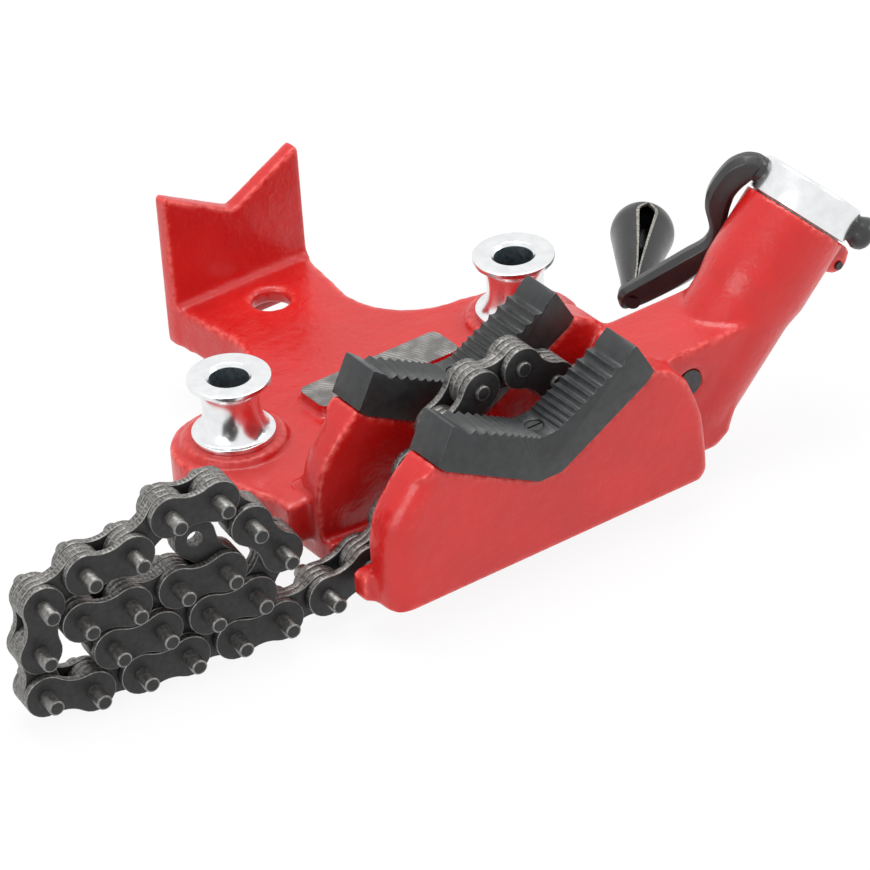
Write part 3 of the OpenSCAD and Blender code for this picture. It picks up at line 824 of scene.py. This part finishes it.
@dataclass
class Casting:
    """The red casting: one rounded skin, and the bare pad milled on it."""

    wall_y: tuple[float, float] = (-103.9, -39.2)
    wall_x: tuple[float, float] = (-66.4, 77.1)
    end_r: tuple[float, float] = (9.5, 3.5)
    voxel: float = 1.1
    pad_size: Point = (63.6, 17.4)
    pad_y: float = -1.7
    pad_z: float = 22.5
    pad_corner: float = 3.2
    pad_skirt: float = 1.6
    pad_edge: float = 0.25
    pad_room: float = 0.6
    pad_drop: float = 0.9
    left_lean: tuple[Point, ...] = (
        (15.9, 0), (20.6, 0.5), (27.2, 2.3), (32.7, 5.3), (37.6, 9.5), (41.7, 12.9))
    right_lean: tuple[Point, ...] = (
        (2, 0), (9.8, 0.3), (19, 1.2), (26.4, 3.4), (35.8, 7), (42.6, 13))
    ends_top: float = 44.0
    rear_low: float = 19.5
    ends_room: float = 1.5
    flat_bend: float = 0.05
    bend_spread: float = 0.16
    free_share: float = 0.9
    housing_share: float = 0.35
    housing_from: float = -4.0

    def skin(self, frame: Frame) -> bpy.types.Object:
        """Turns the CAD casting into one rounded skin, as a sand casting has.

        Args:
            frame: the loaded frame.

        Returns:
            The skin, with the attribute edge for its paler edges, partly rubbed paint and partly a
            painted highlight.
        """
        thing = copy_of(frame, "base_casting", "red_casting")
        remesh = thing.modifiers.new("Skin", "REMESH")
        remesh.mode = "VOXEL"
        remesh.voxel_size = self.voxel * MM
        settle(thing)
        mesh = thing.data
        pairs = read(mesh.edges, "vertices", 2, np.int64)
        co = self.round_ends(read(mesh.vertices, "co", 3) / MM)
        co = smoothed(co, pairs, self.cast_share(co), 3)
        half_l, half_w = (side / 2 + self.pad_room for side in self.pad_size)
        under = (np.abs(co[:, 0]) < half_l) & (np.abs(co[:, 1] - self.pad_y) < half_w)
        co[under, 2] = np.minimum(co[under, 2], self.pad_z - self.pad_drop)
        mesh.vertices.foreach_set("co", (co * MM).ravel())
        mesh.update()
        # The edge attribute lightens the enamel, partly as rubbed paint and partly as a painted
        # highlight
        keep(mesh, "edge", self.edge_wear_and_highlight(co, pairs, read(mesh.vertices, "normal", 3)))
        paint(mesh, ENAMEL)
        smooth(mesh)
        return thing

    def edge_wear_and_highlight(self, co: np.ndarray, pairs: np.ndarray, normal: np.ndarray) -> np.ndarray:
        """Tells how sharply the skin turns at each point, which sets where the enamel is lightened
        as rubbed paint and as a painted highlight.

        Args:
            co: points of the skin in millimetres.
            pairs: pairs of neighbouring points.
            normal: the skin's normal at each point.

        Returns:
            A share from 0, where it is flat or hollow, to 1 on an edge.
        """
        bend = -((smoothed(co, pairs, np.ones(len(co)), 2) - co) * normal).sum(1)
        edge = np.clip((bend - self.flat_bend) / self.bend_spread, 0, 1)
        return smoothed(edge[:, None], pairs, np.full(len(co), 0.6), 1)[:, 0]

    def round_ends(self, co: np.ndarray) -> np.ndarray:
        """Rounds the upright outer edges of the walls' ends.

        Args:
            co: points of the skin in millimetres.

        Returns:
            The points, with those past the rounding drawn back on it.
        """
        z = co[:, 2]
        left = np.interp(z, *zip(*self.left_lean))
        right = np.interp(z, *zip(*self.right_lean))
        room = self.ends_room
        out = co.copy()
        for y, sign in ((self.wall_y[0], 1), (self.wall_y[1], -1)):
            for x, inward, lean, r in ((self.wall_x[0], 1, left, self.end_r[0]),
                                       (self.wall_x[1], -1, right, self.end_r[1])):
                a = inward * (co[:, 0] - x) - lean
                b = sign * (co[:, 1] - y)
                near = (a < r) & (b < r) & (a > -room) & (b > -room) & (z < self.ends_top)
                if sign < 0:
                    near &= z > self.rear_low
                d = np.hypot(r - a, r - b)
                pull = near & (d > r)
                scale = np.where(pull, r / np.maximum(d, 1e-6), 1)
                new_a, new_b = r - (r - a) * scale, r - (r - b) * scale
                out[pull, 0] += inward * (new_a - a)[pull]
                out[pull, 1] += sign * (new_b - b)[pull]
        return out

    def cast_share(self, co: np.ndarray) -> np.ndarray:
        """Tells how freely each point of the skin may be smoothed.

        Args:
            co: points of the skin in millimetres.

        Returns:
            The free share, or a smaller one at the housing's machined mouth.
        """
        s = ((co[:, 0] - Nut.seat_x) + (co[:, 2] - Nut.seat_z)) * math.sqrt(0.5)
        return np.where(s > self.housing_from, self.housing_share, self.free_share)

    def pad(self) -> bpy.types.Object:
        """Builds the bare top of the milled pad, with a crisp edge."""
        l, w = self.pad_size[0] / 2, self.pad_size[1] / 2
        y, top = self.pad_y, self.pad_z
        rings = []
        for inset, z in ((0.0, top - self.pad_skirt), (0.0, top - self.pad_edge),
                         (self.pad_edge, top)):
            corners = [(sx * (l - inset), y + sy * (w - inset), self.pad_corner - inset)
                       for sx, sy in ((-1, -1), (1, -1), (1, 1), (-1, 1))]
            rings.append([(*p, z) for p in filleted(corners, 6)])
        n = len(rings[0])
        points = [p for ring in rings for p in ring]
        faces = bands(len(rings), n)
        picks = [k for k in (1, 0) for _ in range(n)]
        faces += [list(range(2 * n, 3 * n)), list(range(n))]
        picks += [0, 1]
        thing = piece("milled_pad", points, faces, [MILLED, ENAMEL], picks)
        crisp(thing, 30)
        return thing

    def build(self, frame: Frame) -> None:
        """Builds the casting's pieces and rides them on the base."""
        stands_for(self.skin(frame), "base", Slot.CASTING, "base_casting")
        stands_for(self.pad(), "base", Slot.CASTING)


# ---- Jaws ---------------------------------------------------------------------


@dataclass
class Jaws:
    """The two toothed jaws and their screws."""

    crest: float = 0.3

    def jaw(self, frame: Frame, node: str) -> bpy.types.Object:
        """Gives a CAD jaw its rounded edges, paler partly as rubbed oxide and partly as a painted
        highlight.

        Args:
            frame: the loaded frame.
            node: the jaw's CAD node.

        Returns:
            The finished jaw.
        """
        thing = copy_of(frame, node, node.replace("_jaw", "_toothed_jaw"))
        mesh = thing.data
        with edited(mesh) as bm:
            bmesh.ops.dissolve_limit(bm, angle_limit=math.radians(1), verts=bm.verts,
                                     edges=bm.edges)
        paint(mesh, OXIDE, CREST_WEAR_AND_HIGHLIGHT)
        mesh.polygons.foreach_set("material_index", [0] * len(mesh.polygons))
        # Bevels take slot 1, the paler oxide: partly rubbed oxide and partly a painted highlight
        # along every sharp edge
        softened(thing, self.crest, 40, 1, 2)
        crisp(thing, 28)
        return thing

    def build(self, frame: Frame) -> None:
        """Builds both jaws on the base."""
        for node in ("front_jaw", "rear_jaw"):
            stands_for(self.jaw(frame, node), "base", Slot.JAW, node)
        dress(frame, "jaw_screws", DARK_PIN)


# ---- Spools -------------------------------------------------------------------


@dataclass
class Spools:
    """The two zinc spools that hold the plate down and bend pipe."""

    x: float = 65.5
    low: float = 20.5
    foot: float = 17.5
    top: float = 46.0
    radius: float = 15.875
    neck: float = 11.0
    rim: float = 2.1
    bore: float = 7.55

    def profile(self) -> tuple[list[Point], list[int]]:
        """Gives the spool's closed profile and the slot of each stretch.

        Returns:
            Radius and height of each point, and 1 where the bore is, which gets the darker zinc of
            painted bore shade.
        """
        mid, half = (self.top + self.low) / 2, (self.top - self.low) / 2
        waist = half - self.rim
        swell = self.radius - self.neck - 0.4
        hollow = [(self.radius - 0.4 - swell * math.cos(a), mid + waist * math.sin(a), 0.0)
                  for a in (math.radians(d) for d in range(-88, 89, 4))]
        corners = [(self.bore, self.foot, 0.0), (self.bore + 2.9, self.foot, 0.0),
                   (self.bore + 2.9, self.low, 0.0), (self.radius, self.low, 0.3),
                   (self.radius, self.low + self.rim, 0.35), *hollow,
                   (self.radius, self.top - self.rim, 0.35), (self.radius, self.top, 0.5),
                   (self.bore + 1.3, self.top, 0.25), (self.bore, self.top - 1.3, 0.25)]
        outline = filleted(corners)
        # Slot 1, the bore, gets the darker zinc of painted bore shade
        picks = [1 if max(a[0], outline[(i + 1) % len(outline)][0]) < self.bore + 0.2 else 0
                 for i, a in enumerate(outline)]
        return outline, picks

    def build(self) -> None:
        """Turns both spools."""
        outline, picks = self.profile()
        for side, node in ((-1, "left_spool"), (1, "right_spool")):
            place = Matrix.Translation((side * self.x, 0, 0))
            thing = turned(node.replace("spool", "turned_spool"), outline, [ZINC, BORE_SHADE], picks,
                           place)
            stands_for(thing, "base", Slot.ZINC, node)


# ---- Nut ----------------------------------------------------------------------


@dataclass
class Nut:
    """The zinc nut with its broad collar, on the axis of the screw."""

    seat_x = 83.3 + 4.2 + 83.7 * math.sqrt(0.5)
    seat_z = 4.2 + 83.7 * math.sqrt(0.5)
    chain_y = -71.55
    collar_r: float = 20.9
    collar_h: float = 13.8
    hub_r: float = 13.42
    hub_l: float = 34.0
    screw_r: float = 8.06
    washer_t: float = 1.5
    shank_r: float = 5.26
    groove: float = 2.6
    groove_low: float = 11.4
    groove_top: float = 1.6

    @classmethod
    def axis(cls, s: float) -> Matrix:
        """Place on the screw's axis, s millimetres past the housing's mouth."""
        d = s * math.sqrt(0.5)
        return (Matrix.Translation((cls.seat_x + d, cls.chain_y, cls.seat_z + d))
                @ Matrix.Rotation(math.radians(45), 4, "Y"))

    def collar(self) -> bpy.types.Object:
        """Turns the nut, and drills its collar for the crank's shank.

        Returns:
            The drilled nut.
        """
        w, neck = self.washer_t, self.hub_r - self.groove
        corners = [(0.0, self.collar_h, 0.0), (0.0, -5.0, 0.0), (self.screw_r, -5.0, 0.0),
                   (self.screw_r, -self.hub_l, 0.3), (self.hub_r, -self.hub_l, 0.4),
                   (self.hub_r, -self.groove_low - w, 0.1), (neck, -self.groove_low - w, 0.1),
                   (neck, -self.groove_top - w, 0.1), (self.hub_r, -self.groove_top - w, 0.1),
                   (self.hub_r, 0.0, 0.0), (self.collar_r, 0.0, 0.7),
                   (self.collar_r, self.collar_h, 1.6)]
        thing = turned("zinc_nut", filleted(corners), [ZINC, BORE_SHADE], None, self.axis(0), 128)
        far = 2 * self.collar_r
        rod = [(0.0, -far), (self.shank_r, -far), (self.shank_r, far), (0.0, far)]
        drill = turned("drill", rod, [BORE_SHADE], None, Crank.matrix() @ QUARTER, 48, False)
        cut = thing.modifiers.new("Cross hole", "BOOLEAN")
        cut.operation, cut.object, cut.solver = "DIFFERENCE", drill, "EXACT"
        settle(thing)
        bpy.data.objects.remove(drill)
        crisp(thing, 30)
        return thing

    def build(self, frame: Frame) -> None:
        """Builds the nut, and dresses the washer and the keeper beside it."""
        stands_for(self.collar(), "nut", Slot.ZINC, "nut_collar")
        for node, finish in (("thrust_washer", PIN), ("keeper", OXIDE), ("keeper_pin", DARK_PIN),
                             ("guide_pin", DARK_PIN), ("chain_screw", PIN), ("screw_pin", PIN_END)):
            dress(frame, node, finish)


# ---- Crank --------------------------------------------------------------------


@dataclass
class Crank:
    """The forged crank with its shank through the collar, and the rolled grip."""

    shank_r: float = 5.2
    stub_l: float = 30.0
    root: float = 22.6
    relief: float = 21.6
    thick: float = 8.6
    bevel: float = 2.3
    grip_at: Point = (27.8, 75.1)
    grip_l: float = 54.5
    grip_r: float = 12.5
    grip_small: float = 4.6
    wall: float = 1.2
    seam: float = 66.0
    outer: tuple[Point, ...] = (
        (21.4, -4.9), (23, -5.2), (25.8, -4.7), (29.6, -2.2), (32.6, 3), (33.4, 9), (33, 15.6),
        (31.6, 21), (28.8, 25.6), (25.2, 29), (22.4, 32), (21, 35.6), (21.4, 39.8), (24, 46.4),
        (28.4, 59), (32.2, 70), (34, 75), (33, 78.6), (30.4, 80.6))
    inner: tuple[Point, ...] = (
        (21.4, 4.6), (21.5, 5.4), (21.6, 6.4), (21.8, 7.8), (22.1, 9.6), (22.3, 12), (22.2, 14.8),
        (21.4, 17.6), (20.4, 20.6), (18.8, 24.2), (16.8, 28.4), (14.8, 33), (12.8, 38.2),
        (12.4, 46), (14.8, 55.8), (17.6, 62.6), (20.2, 68.6), (23.2, 75), (27.4, 80.4))

    @staticmethod
    def matrix() -> Matrix:
        """Frame of the crank: its shank, its hanging arm and the grip's direction."""
        s = Vector((-0.5985, 0.5325, 0.5985)).normalized()
        g = s.cross(Vector((-0.4503, 0.3966, -0.8))).normalized()
        t = g.cross(s)
        turn = Matrix((s, t, g)).transposed().to_4x4()
        return Matrix.Translation(Nut.axis(6.9).translation) @ turn

    def edge_line(self, edge: Sequence[Point], count: int) -> list[Vector]:
        """Draws a smooth line through an edge's points.

        Args:
            edge: the points.
            count: pieces between two points.

        Returns:
            The finer points, on a Catmull-Rom curve.
        """
        pts = [Vector(p) for p in edge]
        pts = [2 * pts[0] - pts[1]] + pts + [2 * pts[-1] - pts[-2]]
        out = []
        for i in range(1, len(pts) - 2):
            a, b, c, d = pts[i - 1 : i + 3]
            for k in range(count):
                t = k / count
                out.append(0.5 * ((2 * b) + (c - a) * t + (2 * a - 5 * b + 4 * c - d) * t * t
                                  + (3 * b - a - 3 * c + d) * t ** 3))
        out.append(pts[-2])
        return out

    def section(self, o: Vector, q: Vector, thick: float) -> list[Vector]:
        """Draws the arm's section between its two edges, with soft ridges.

        Args:
            o: point on the outer edge.
            q: point on the inner edge.
            thick: the arm's thickness there.

        Returns:
            The section's points, all round.
        """
        wide = (q - o).length
        h = thick / 2
        b = min(self.bevel, wide * 0.3)
        box = [(0.25, -h + b * 1.1, 0.5), (0.25, h - b * 1.1, 0.5), (b, h, 0.9), (wide - b, h, 0.9),
               (wide - 0.25, h - b * 1.1, 0.5), (wide - 0.25, -h + b * 1.1, 0.5),
               (wide - b, -h, 0.9), (b, -h, 0.9)]
        unit = (q - o).normalized()
        return [Vector((*(o + unit * u), v)) for u, v in filleted(box, 3)]

    def arm(self) -> bpy.types.Object:
        """Forges the arm, and turns the shank with its swelled end."""
        outer, inner = self.edge_line(self.outer, 5), self.edge_line(self.inner, 5)
        rings = []
        count = len(outer)
        for i in range(count):
            left = (count - 1 - i) / 9
            thick = self.thick * (1 if left >= 1 else 0.62 + 0.38 * math.sqrt(1 - (1 - left) ** 2))
            if i < 2:
                thick *= 0.93
            rings.append(self.section(outer[i], inner[i], thick))
        n = len(rings[0])
        points = [p for ring in rings for p in ring]
        faces = bands(count, n)
        faces += [list(range(n)), [(count - 1) * n + i for i in range(n)]]
        place = self.matrix()
        thing = piece("forged_crank", [self.clear(place @ p) for p in points], faces, [FORGED])
        r, l = self.shank_r, self.stub_l
        swell = ((0.0, 0.0), (0.4, 0.05), (0.84, 0.5), (1.12, 1.8), (1.27, 3.6), (1.27, 5.2),
                 (1.08, 7.2), (1.0, 8.6))
        end = [*((r * wide, -l + high) for wide, high in swell), (r, self.root), (0.0, self.root)]
        shank = turned("shank", end, [FORGED], None, place @ QUARTER, 48, False)
        with edited(thing.data) as bm:
            bm.from_mesh(shank.data)
        bpy.data.objects.remove(shank)
        crisp(thing, 50)
        return thing

    def clear(self, point: Vector) -> Vector:
        """Moves a point of the arm out of the way of the housing."""
        local = Nut.axis(0).inverted() @ point
        away = math.hypot(local.x, local.y)
        if local.z > 0 or away >= self.relief:
            return point
        grow = self.relief / away
        return Nut.axis(0) @ Vector((local.x * grow, local.y * grow, local.z))

    def grip_frame(self) -> Matrix:
        """Frame of the grip: it leaves the arm on the side away from the walls."""
        return (self.matrix() @ Matrix.Translation((*self.grip_at, 0))
                @ Matrix.Rotation(math.pi, 4, "X"))

    def grip_radius(self, z: float) -> float:
        """Outer radius of the grip at a height above its small end."""
        ball = self.grip_l - self.grip_r
        tilt = (math.acos(self.grip_r / math.hypot(self.grip_small, ball))
                - math.atan2(ball, self.grip_small))
        if z <= ball + self.grip_r * math.sin(tilt):
            return self.grip_small - z * math.tan(tilt)
        return math.sqrt(max(self.grip_r ** 2 - (z - ball) ** 2, 0.0))

    def gap(self, z: float) -> float:
        """Half the seam's opening in millimetres, at a height above the small end."""
        top = self.grip_l - self.grip_r * 0.72
        if z >= top:
            return 0.0
        open_share = max(0.0, min(1.0, (z - 7) / (top - 12)))
        close = math.sqrt(max(0.0, 1 - max(0.0, (z - (top - 5)) / 5) ** 2))
        return (0.25 + 3.1 * open_share ** 1.25) * close

    def shell(self) -> bpy.types.Object:
        """Rolls the grip's sheet: a hollow drop whose seam gapes towards the dome."""
        place = self.grip_frame() @ Matrix.Translation((0, 0, self.thick / 2 + 0.3))
        rows, cols = 52, 60
        points, faces, picks = [], [], []
        heights = [self.grip_l * (1 - math.cos(math.pi * i / rows)) / 2 for i in range(rows)]
        for z in heights:
            r = max(self.grip_radius(z), 0.01)
            half = self.gap(z)
            start = math.asin(min(half / r, 0.9))
            for k in range(cols + 1):
                u = k / cols
                a = start + (2 * math.pi - 2 * start) * u
                # The sheet rolls in at its lips, and is crumpled at the small end
                lip = math.exp(-min(u, 1 - u) * cols / 2.2)
                roll = -0.8 * lip * min(1.0, half / 1.5)
                crumple = 0.28 * math.exp(-z / 5) * math.sin(7 * a + 0.6 * z)
                rr = max(r + roll + crumple, 0.01)
                turn = a + math.radians(self.seam)
                points.append((rr * math.cos(turn), rr * math.sin(turn), z))
        wide = cols + 1
        for i in range(rows - 1):
            shut = self.gap(heights[i]) < 1e-6 and self.gap(heights[i + 1]) < 1e-6
            for k in range(cols):
                low, high = i * wide + k, (i + 1) * wide + k
                faces.append([low, low + 1, high + 1, high])
                picks.append(0 if shut or 0 < k < cols - 1 else 1)
        points.append((0, 0, self.grip_l))
        pole = len(points) - 1
        for k in range(cols):
            faces.append([(rows - 1) * wide + k, (rows - 1) * wide + k + 1, pole])
            picks.append(0)
        thing = piece("rolled_grip", points, faces, [SHEET, LIP], picks, outward=False)
        with edited(thing.data) as bm:
            bmesh.ops.remove_doubles(bm, verts=bm.verts, dist=1e-5)
            bmesh.ops.recalc_face_normals(bm, faces=bm.faces)
        middle = thing.data.polygons[cols // 2 * 20]
        if middle.normal.dot(Vector((middle.center.x, middle.center.y, 0))) < 0:
            thing.data.flip_normals()
        solid = thing.modifiers.new("Sheet", "SOLIDIFY")
        solid.thickness, solid.offset = self.wall * MM, -1
        solid.material_offset_rim = 1
        settle(thing)
        thing.data.transform(in_metres(place))
        crisp(thing, 60)
        return thing

    def build(self, frame: Frame) -> None:
        """Builds the crank and its grip on their bodies."""
        stands_for(self.arm(), "crank", Slot.CRANK, "crank_handle")
        stands_for(self.shell(), "grip", Slot.GRIP, "grip")
        dress(frame, "grip_rivet", FORGED)


# ---- Chain --------------------------------------------------------------------


@dataclass
class Chain:
    """Leaf chain: inner links of two leaves, outer links of two leaves and two pins."""

    pitch: float = 19.05
    leaf_r: float = 8.4
    leaf_t: float = 2.9
    gap: float = 0.4
    slit: float = 0.06
    waist: float = 13.0
    pin_r: float = 3.1
    hole: float = 3.25
    short_pin: float = 7.5
    long_pin: float = 14.5
    first_long: int = 12
    edge: float = 0.32
    yaw_total: float = -8.0
    yaw_from: int = 10
    yaw_steps: int = 4
    eye: float = -58.2
    headings: tuple[float, ...] = (
        225, 188, 151, 137.5, 138.5, 141, 187, 221, 232, 232, 215, 197, 190, 183.5, 181, 181.5,
        181.5, 166, 91, 81, 23.5, 3.5, 34.5, 0.5, -51.5, -54.5, -128, -177.5, -179, -178.5, -235.5,
        -361, -357.5, -359.5, -238.5)

    def places(self) -> list[Matrix]:
        """Gives the place of every link, from the screw's eye on.

        Returns:
            One matrix for each link, in millimetres.
        """
        out = []
        at = Nut.axis(self.eye).translation
        for i, heading in enumerate(self.headings):
            share = max(0, min(self.yaw_steps, i - self.yaw_from + 1)) / self.yaw_steps
            turn = (Matrix.Rotation(math.radians(self.yaw_total * share), 4, "Z")
                    @ Matrix.Rotation(math.radians(-heading), 4, "Y"))
            out.append(Matrix.Translation(at) @ turn)
            at = at + turn.to_3x3() @ Vector((self.pitch, 0, 0))
        return out

    def outline(self, inset: float) -> list[Point]:
        """Draws the leaf's figure of eight, drawn in by an inset."""
        r, k, p = self.leaf_r, self.waist, self.pitch
        lobe = math.sqrt((r + k) ** 2 - (p / 2) ** 2)
        lean = math.atan2(lobe, p / 2)
        r, k = r - inset, k + inset
        pts = []
        for i in range(17):
            a = lean + (2 * math.pi - 2 * lean) * i / 16
            pts.append((r * math.cos(a), r * math.sin(a)))
        for i in range(1, 8):
            a = math.pi - lean + (2 * lean - math.pi) * i / 8
            pts.append((p / 2 + k * math.cos(a), -lobe + k * math.sin(a)))
        half = len(pts)
        return pts + [(p - x, -y) for x, y in pts[:half]]

    def leaf(self, bore: float) -> bpy.types.Object:
        """Stamps one leaf, with rounded rims and its two holes.

        Args:
            bore: radius of the holes.

        Returns:
            The leaf, with its own coordinates in millimetres as the attribute leaf.
        """
        h, e = self.leaf_t / 2, self.edge
        levels = [(e, -h), (e * 0.3, -h + e * 0.3), (0.0, -h + e), (0.0, h - e),
                  (e * 0.3, h - e * 0.3), (e, h)]
        bm = bmesh.new()
        rings = [[bm.verts.new((x, y, z)) for x, z in self.outline(inset)] for inset, y in levels]
        for k, (low, high) in enumerate(zip(rings, rings[1:])):
            for i in range(len(low)):
                n = (i + 1) % len(low)
                face = bm.faces.new((low[i], low[n], high[n], high[i]))
                face.material_index = 1 if k == 2 else 2
        bores = []
        for x in (0.0, self.pitch):
            pair = [[bm.verts.new((x + bore * math.cos(a), y, bore * math.sin(a)))
                     for a in (2 * math.pi * i / 16 for i in range(16))] for y in (-h, h)]
            bores.append(pair)
            for i in range(16):
                n = (i + 1) % 16
                face = bm.faces.new((pair[0][i], pair[0][n], pair[1][n], pair[1][i]))
                face.material_index = 1
        for side, ring in ((0, rings[0]), (1, rings[-1])):
            loops = [ring, bores[0][side], bores[1][side]]
            edges = []
            for loop in loops:
                for i, v in enumerate(loop):
                    w = loop[(i + 1) % len(loop)]
                    edges.append(bm.edges.get((v, w)) or bm.edges.new((v, w)))
            for f in bmesh.ops.triangle_fill(bm, edges=edges, use_beauty=True)["geom"]:
                if isinstance(f, bmesh.types.BMFace):
                    f.material_index = 0
        bmesh.ops.recalc_face_normals(bm, faces=bm.faces)
        mesh = bpy.data.meshes.new("leaf")
        bm.to_mesh(mesh)
        bm.free()
        local = read(mesh.vertices, "co", 3).ravel()
        mesh.attributes.new("leaf", "FLOAT_VECTOR", "POINT").data.foreach_set("vector", local)
        paint(mesh, OILED, SHEARED, RIM)
        mesh.transform(Matrix.Scale(MM, 4))
        thing = put("leaf_pattern", mesh)
        crisp(thing, 50)
        return thing

    def pin(self, name: str, half: float) -> bpy.types.Object:
        """Turns one pin, cropped square with a rubbed rim.

        Args:
            name: the pattern's name.
            half: half of the pin's length.

        Returns:
            The pin, along Y.
        """
        r = self.pin_r
        line = [(0.0, -half), (r - 0.75, -half), (r - 0.4, -half + 0.05), (r - 0.1, -half + 0.3),
                (r, -half + 0.6), (r, half - 0.6), (r - 0.1, half - 0.3), (r - 0.4, half - 0.05),
                (r - 0.75, half), (0.0, half)]
        picks = [0, 1, 1, 1, 2, 1, 1, 1, 0]
        upright = Matrix.Rotation(math.radians(90), 4, "X")
        return turned(name, line, [PIN_END, RIM, PIN], picks, upright, 24, False)

    def tree(self) -> bpy.types.GeometryNodeTree:
        """Builds the node tree that assembles one link from leaves and pins.

        Returns:
            The tree, with inputs for the patterns and for the link's sizes.
        """
        tree = bpy.data.node_groups.new("Leaf chain link", "GeometryNodeTree")
        face = tree.interface
        for name, kind in (("Leaf", "NodeSocketObject"), ("Near pin", "NodeSocketObject"),
                           ("Far pin", "NodeSocketObject"), ("Leaf offset", "NodeSocketFloat"),
                           ("Pitch", "NodeSocketFloat"), ("With pins", "NodeSocketBool"),
                           ("Oil", "NodeSocketMaterial")):
            face.new_socket(name, in_out="INPUT", socket_type=kind)
        face.new_socket("Link", in_out="OUTPUT", socket_type="NodeSocketGeometry")
        given = add(tree, "NodeGroupInput").outputs
        gap, low = (add(tree, "ShaderNodeMath", {"operation": "MULTIPLY"},
                        {0: given["Leaf offset"], 1: times}) for times in (2.0, -1.0))
        row = add(tree, "GeometryNodeMeshLine", {"mode": "OFFSET"}, {
            "Count": 2,
            "Start Location": add(tree, "ShaderNodeCombineXYZ", None, {1: low}),
            "Offset": add(tree, "ShaderNodeCombineXYZ", None, {1: gap})})
        stamp = add(tree, "GeometryNodeObjectInfo", None,
                    {"Object": given["Leaf"], "As Instance": True})
        leaves = add(tree, "GeometryNodeInstanceOnPoints", None, {
            "Points": row, "Instance": stamp.outputs["Geometry"]})
        parts = []
        for name, x in (("Near pin", None), ("Far pin", given["Pitch"])):
            spot = add(tree, "GeometryNodePoints", None, {"Count": 1})
            if x is not None:
                tree.links.new(add(tree, "ShaderNodeCombineXYZ", None, {0: x}).outputs[0],
                               spot.inputs["Position"])
            rod = add(tree, "GeometryNodeObjectInfo", None,
                      {"Object": given[name], "As Instance": True})
            parts.append(add(tree, "GeometryNodeInstanceOnPoints", None, {
                "Points": spot, "Instance": rod.outputs["Geometry"]}))
        pins = add(tree, "GeometryNodeJoinGeometry")
        for part in parts:
            tree.links.new(part.outputs[0], pins.inputs[0])
        fitted = add(tree, "GeometryNodeSwitch", {"input_type": "GEOMETRY"},
                     {0: given["With pins"], 2: pins})
        whole = add(tree, "GeometryNodeJoinGeometry")
        tree.links.new(leaves.outputs[0], whole.inputs[0])
        tree.links.new(fitted.outputs[0], whole.inputs[0])
        real = add(tree, "GeometryNodeRealizeInstances", None, {0: whole})
        # Faces of the leaves keep slot 0, and get the oiled finish here
        oiled = add(tree, "GeometryNodeSetMaterial", None, {
            0: real, "Selection": add(
                tree, "FunctionNodeCompare", {"data_type": "INT", "operation": "EQUAL"},
                {2: add(tree, "GeometryNodeInputMaterialIndex"), 3: 0}),
            "Material": given["Oil"]})
        add(tree, "NodeGroupOutput", None, {0: oiled})
        return tree

    def link_mesh(self, tree: bpy.types.GeometryNodeTree, values: dict[str, Any]) -> bpy.types.Mesh:
        """Evaluates the tree once and takes its result as a plain mesh.

        Args:
            tree: the link's node tree.
            values: each input's name and value.

        Returns:
            The link's mesh, at the origin along X.
        """
        bench = put("link_bench", bpy.data.meshes.new("link_bench"))
        nodes = bench.modifiers.new("Link", "NODES")
        nodes.node_group = tree
        for item in tree.interface.items_tree:
            if item.in_out == "INPUT" and item.name in values:
                nodes[item.identifier] = values[item.name]
        settle(bench)
        mesh = bench.data
        bpy.data.objects.remove(bench)
        return mesh

    def build(self) -> None:
        """Builds every link as one plain mesh on its own body."""
        patterns = {
            "inner": self.leaf(self.hole), "outer": self.leaf(self.pin_r + 0.02),
            "short": self.pin("short_pin_pattern", self.short_pin),
            "long": self.pin("long_pin_pattern", self.long_pin)}
        tree = self.tree()
        made: dict[tuple[str, ...], bpy.types.Mesh] = {}
        for i, place in enumerate(self.places()):
            number = i + 1
            outer = number % 2 == 0
            pins = tuple("long" if n > self.first_long else "short" for n in (number, number + 1))
            kind = ("outer", *pins) if outer else ("inner", "short", "short")
            if kind not in made:
                offset = self.leaf_t * 1.5 + self.gap if outer else self.leaf_t * 0.5 + self.slit
                made[kind] = self.link_mesh(tree, {
                    "Leaf": patterns[kind[0]], "Near pin": patterns[kind[1]],
                    "Far pin": patterns[kind[2]], "Pitch": self.pitch * MM,
                    "Leaf offset": offset * MM, "With pins": outer, "Oil": OILED.material()})
            mesh = made[kind].copy()
            mesh.transform(in_metres(place))
            name = f"link_{number:02d}"
            stands_for(put(f"chain_{name}", mesh), name, Slot.CHAIN, name)
        for thing in patterns.values():
            bpy.data.objects.remove(thing)


def main() -> None:
    """Loads the frame, then builds and reports each sub-assembly in turn."""
    logging.basicConfig(level=logging.INFO, format="%(message)s")
    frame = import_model()
    Studio().build()
    Casting().build(frame)
    Jaws().build(frame)
    Spools().build()
    Nut().build(frame)
    Crank().build(frame)
    Chain().build()


if __name__ == "__main__":
    main()
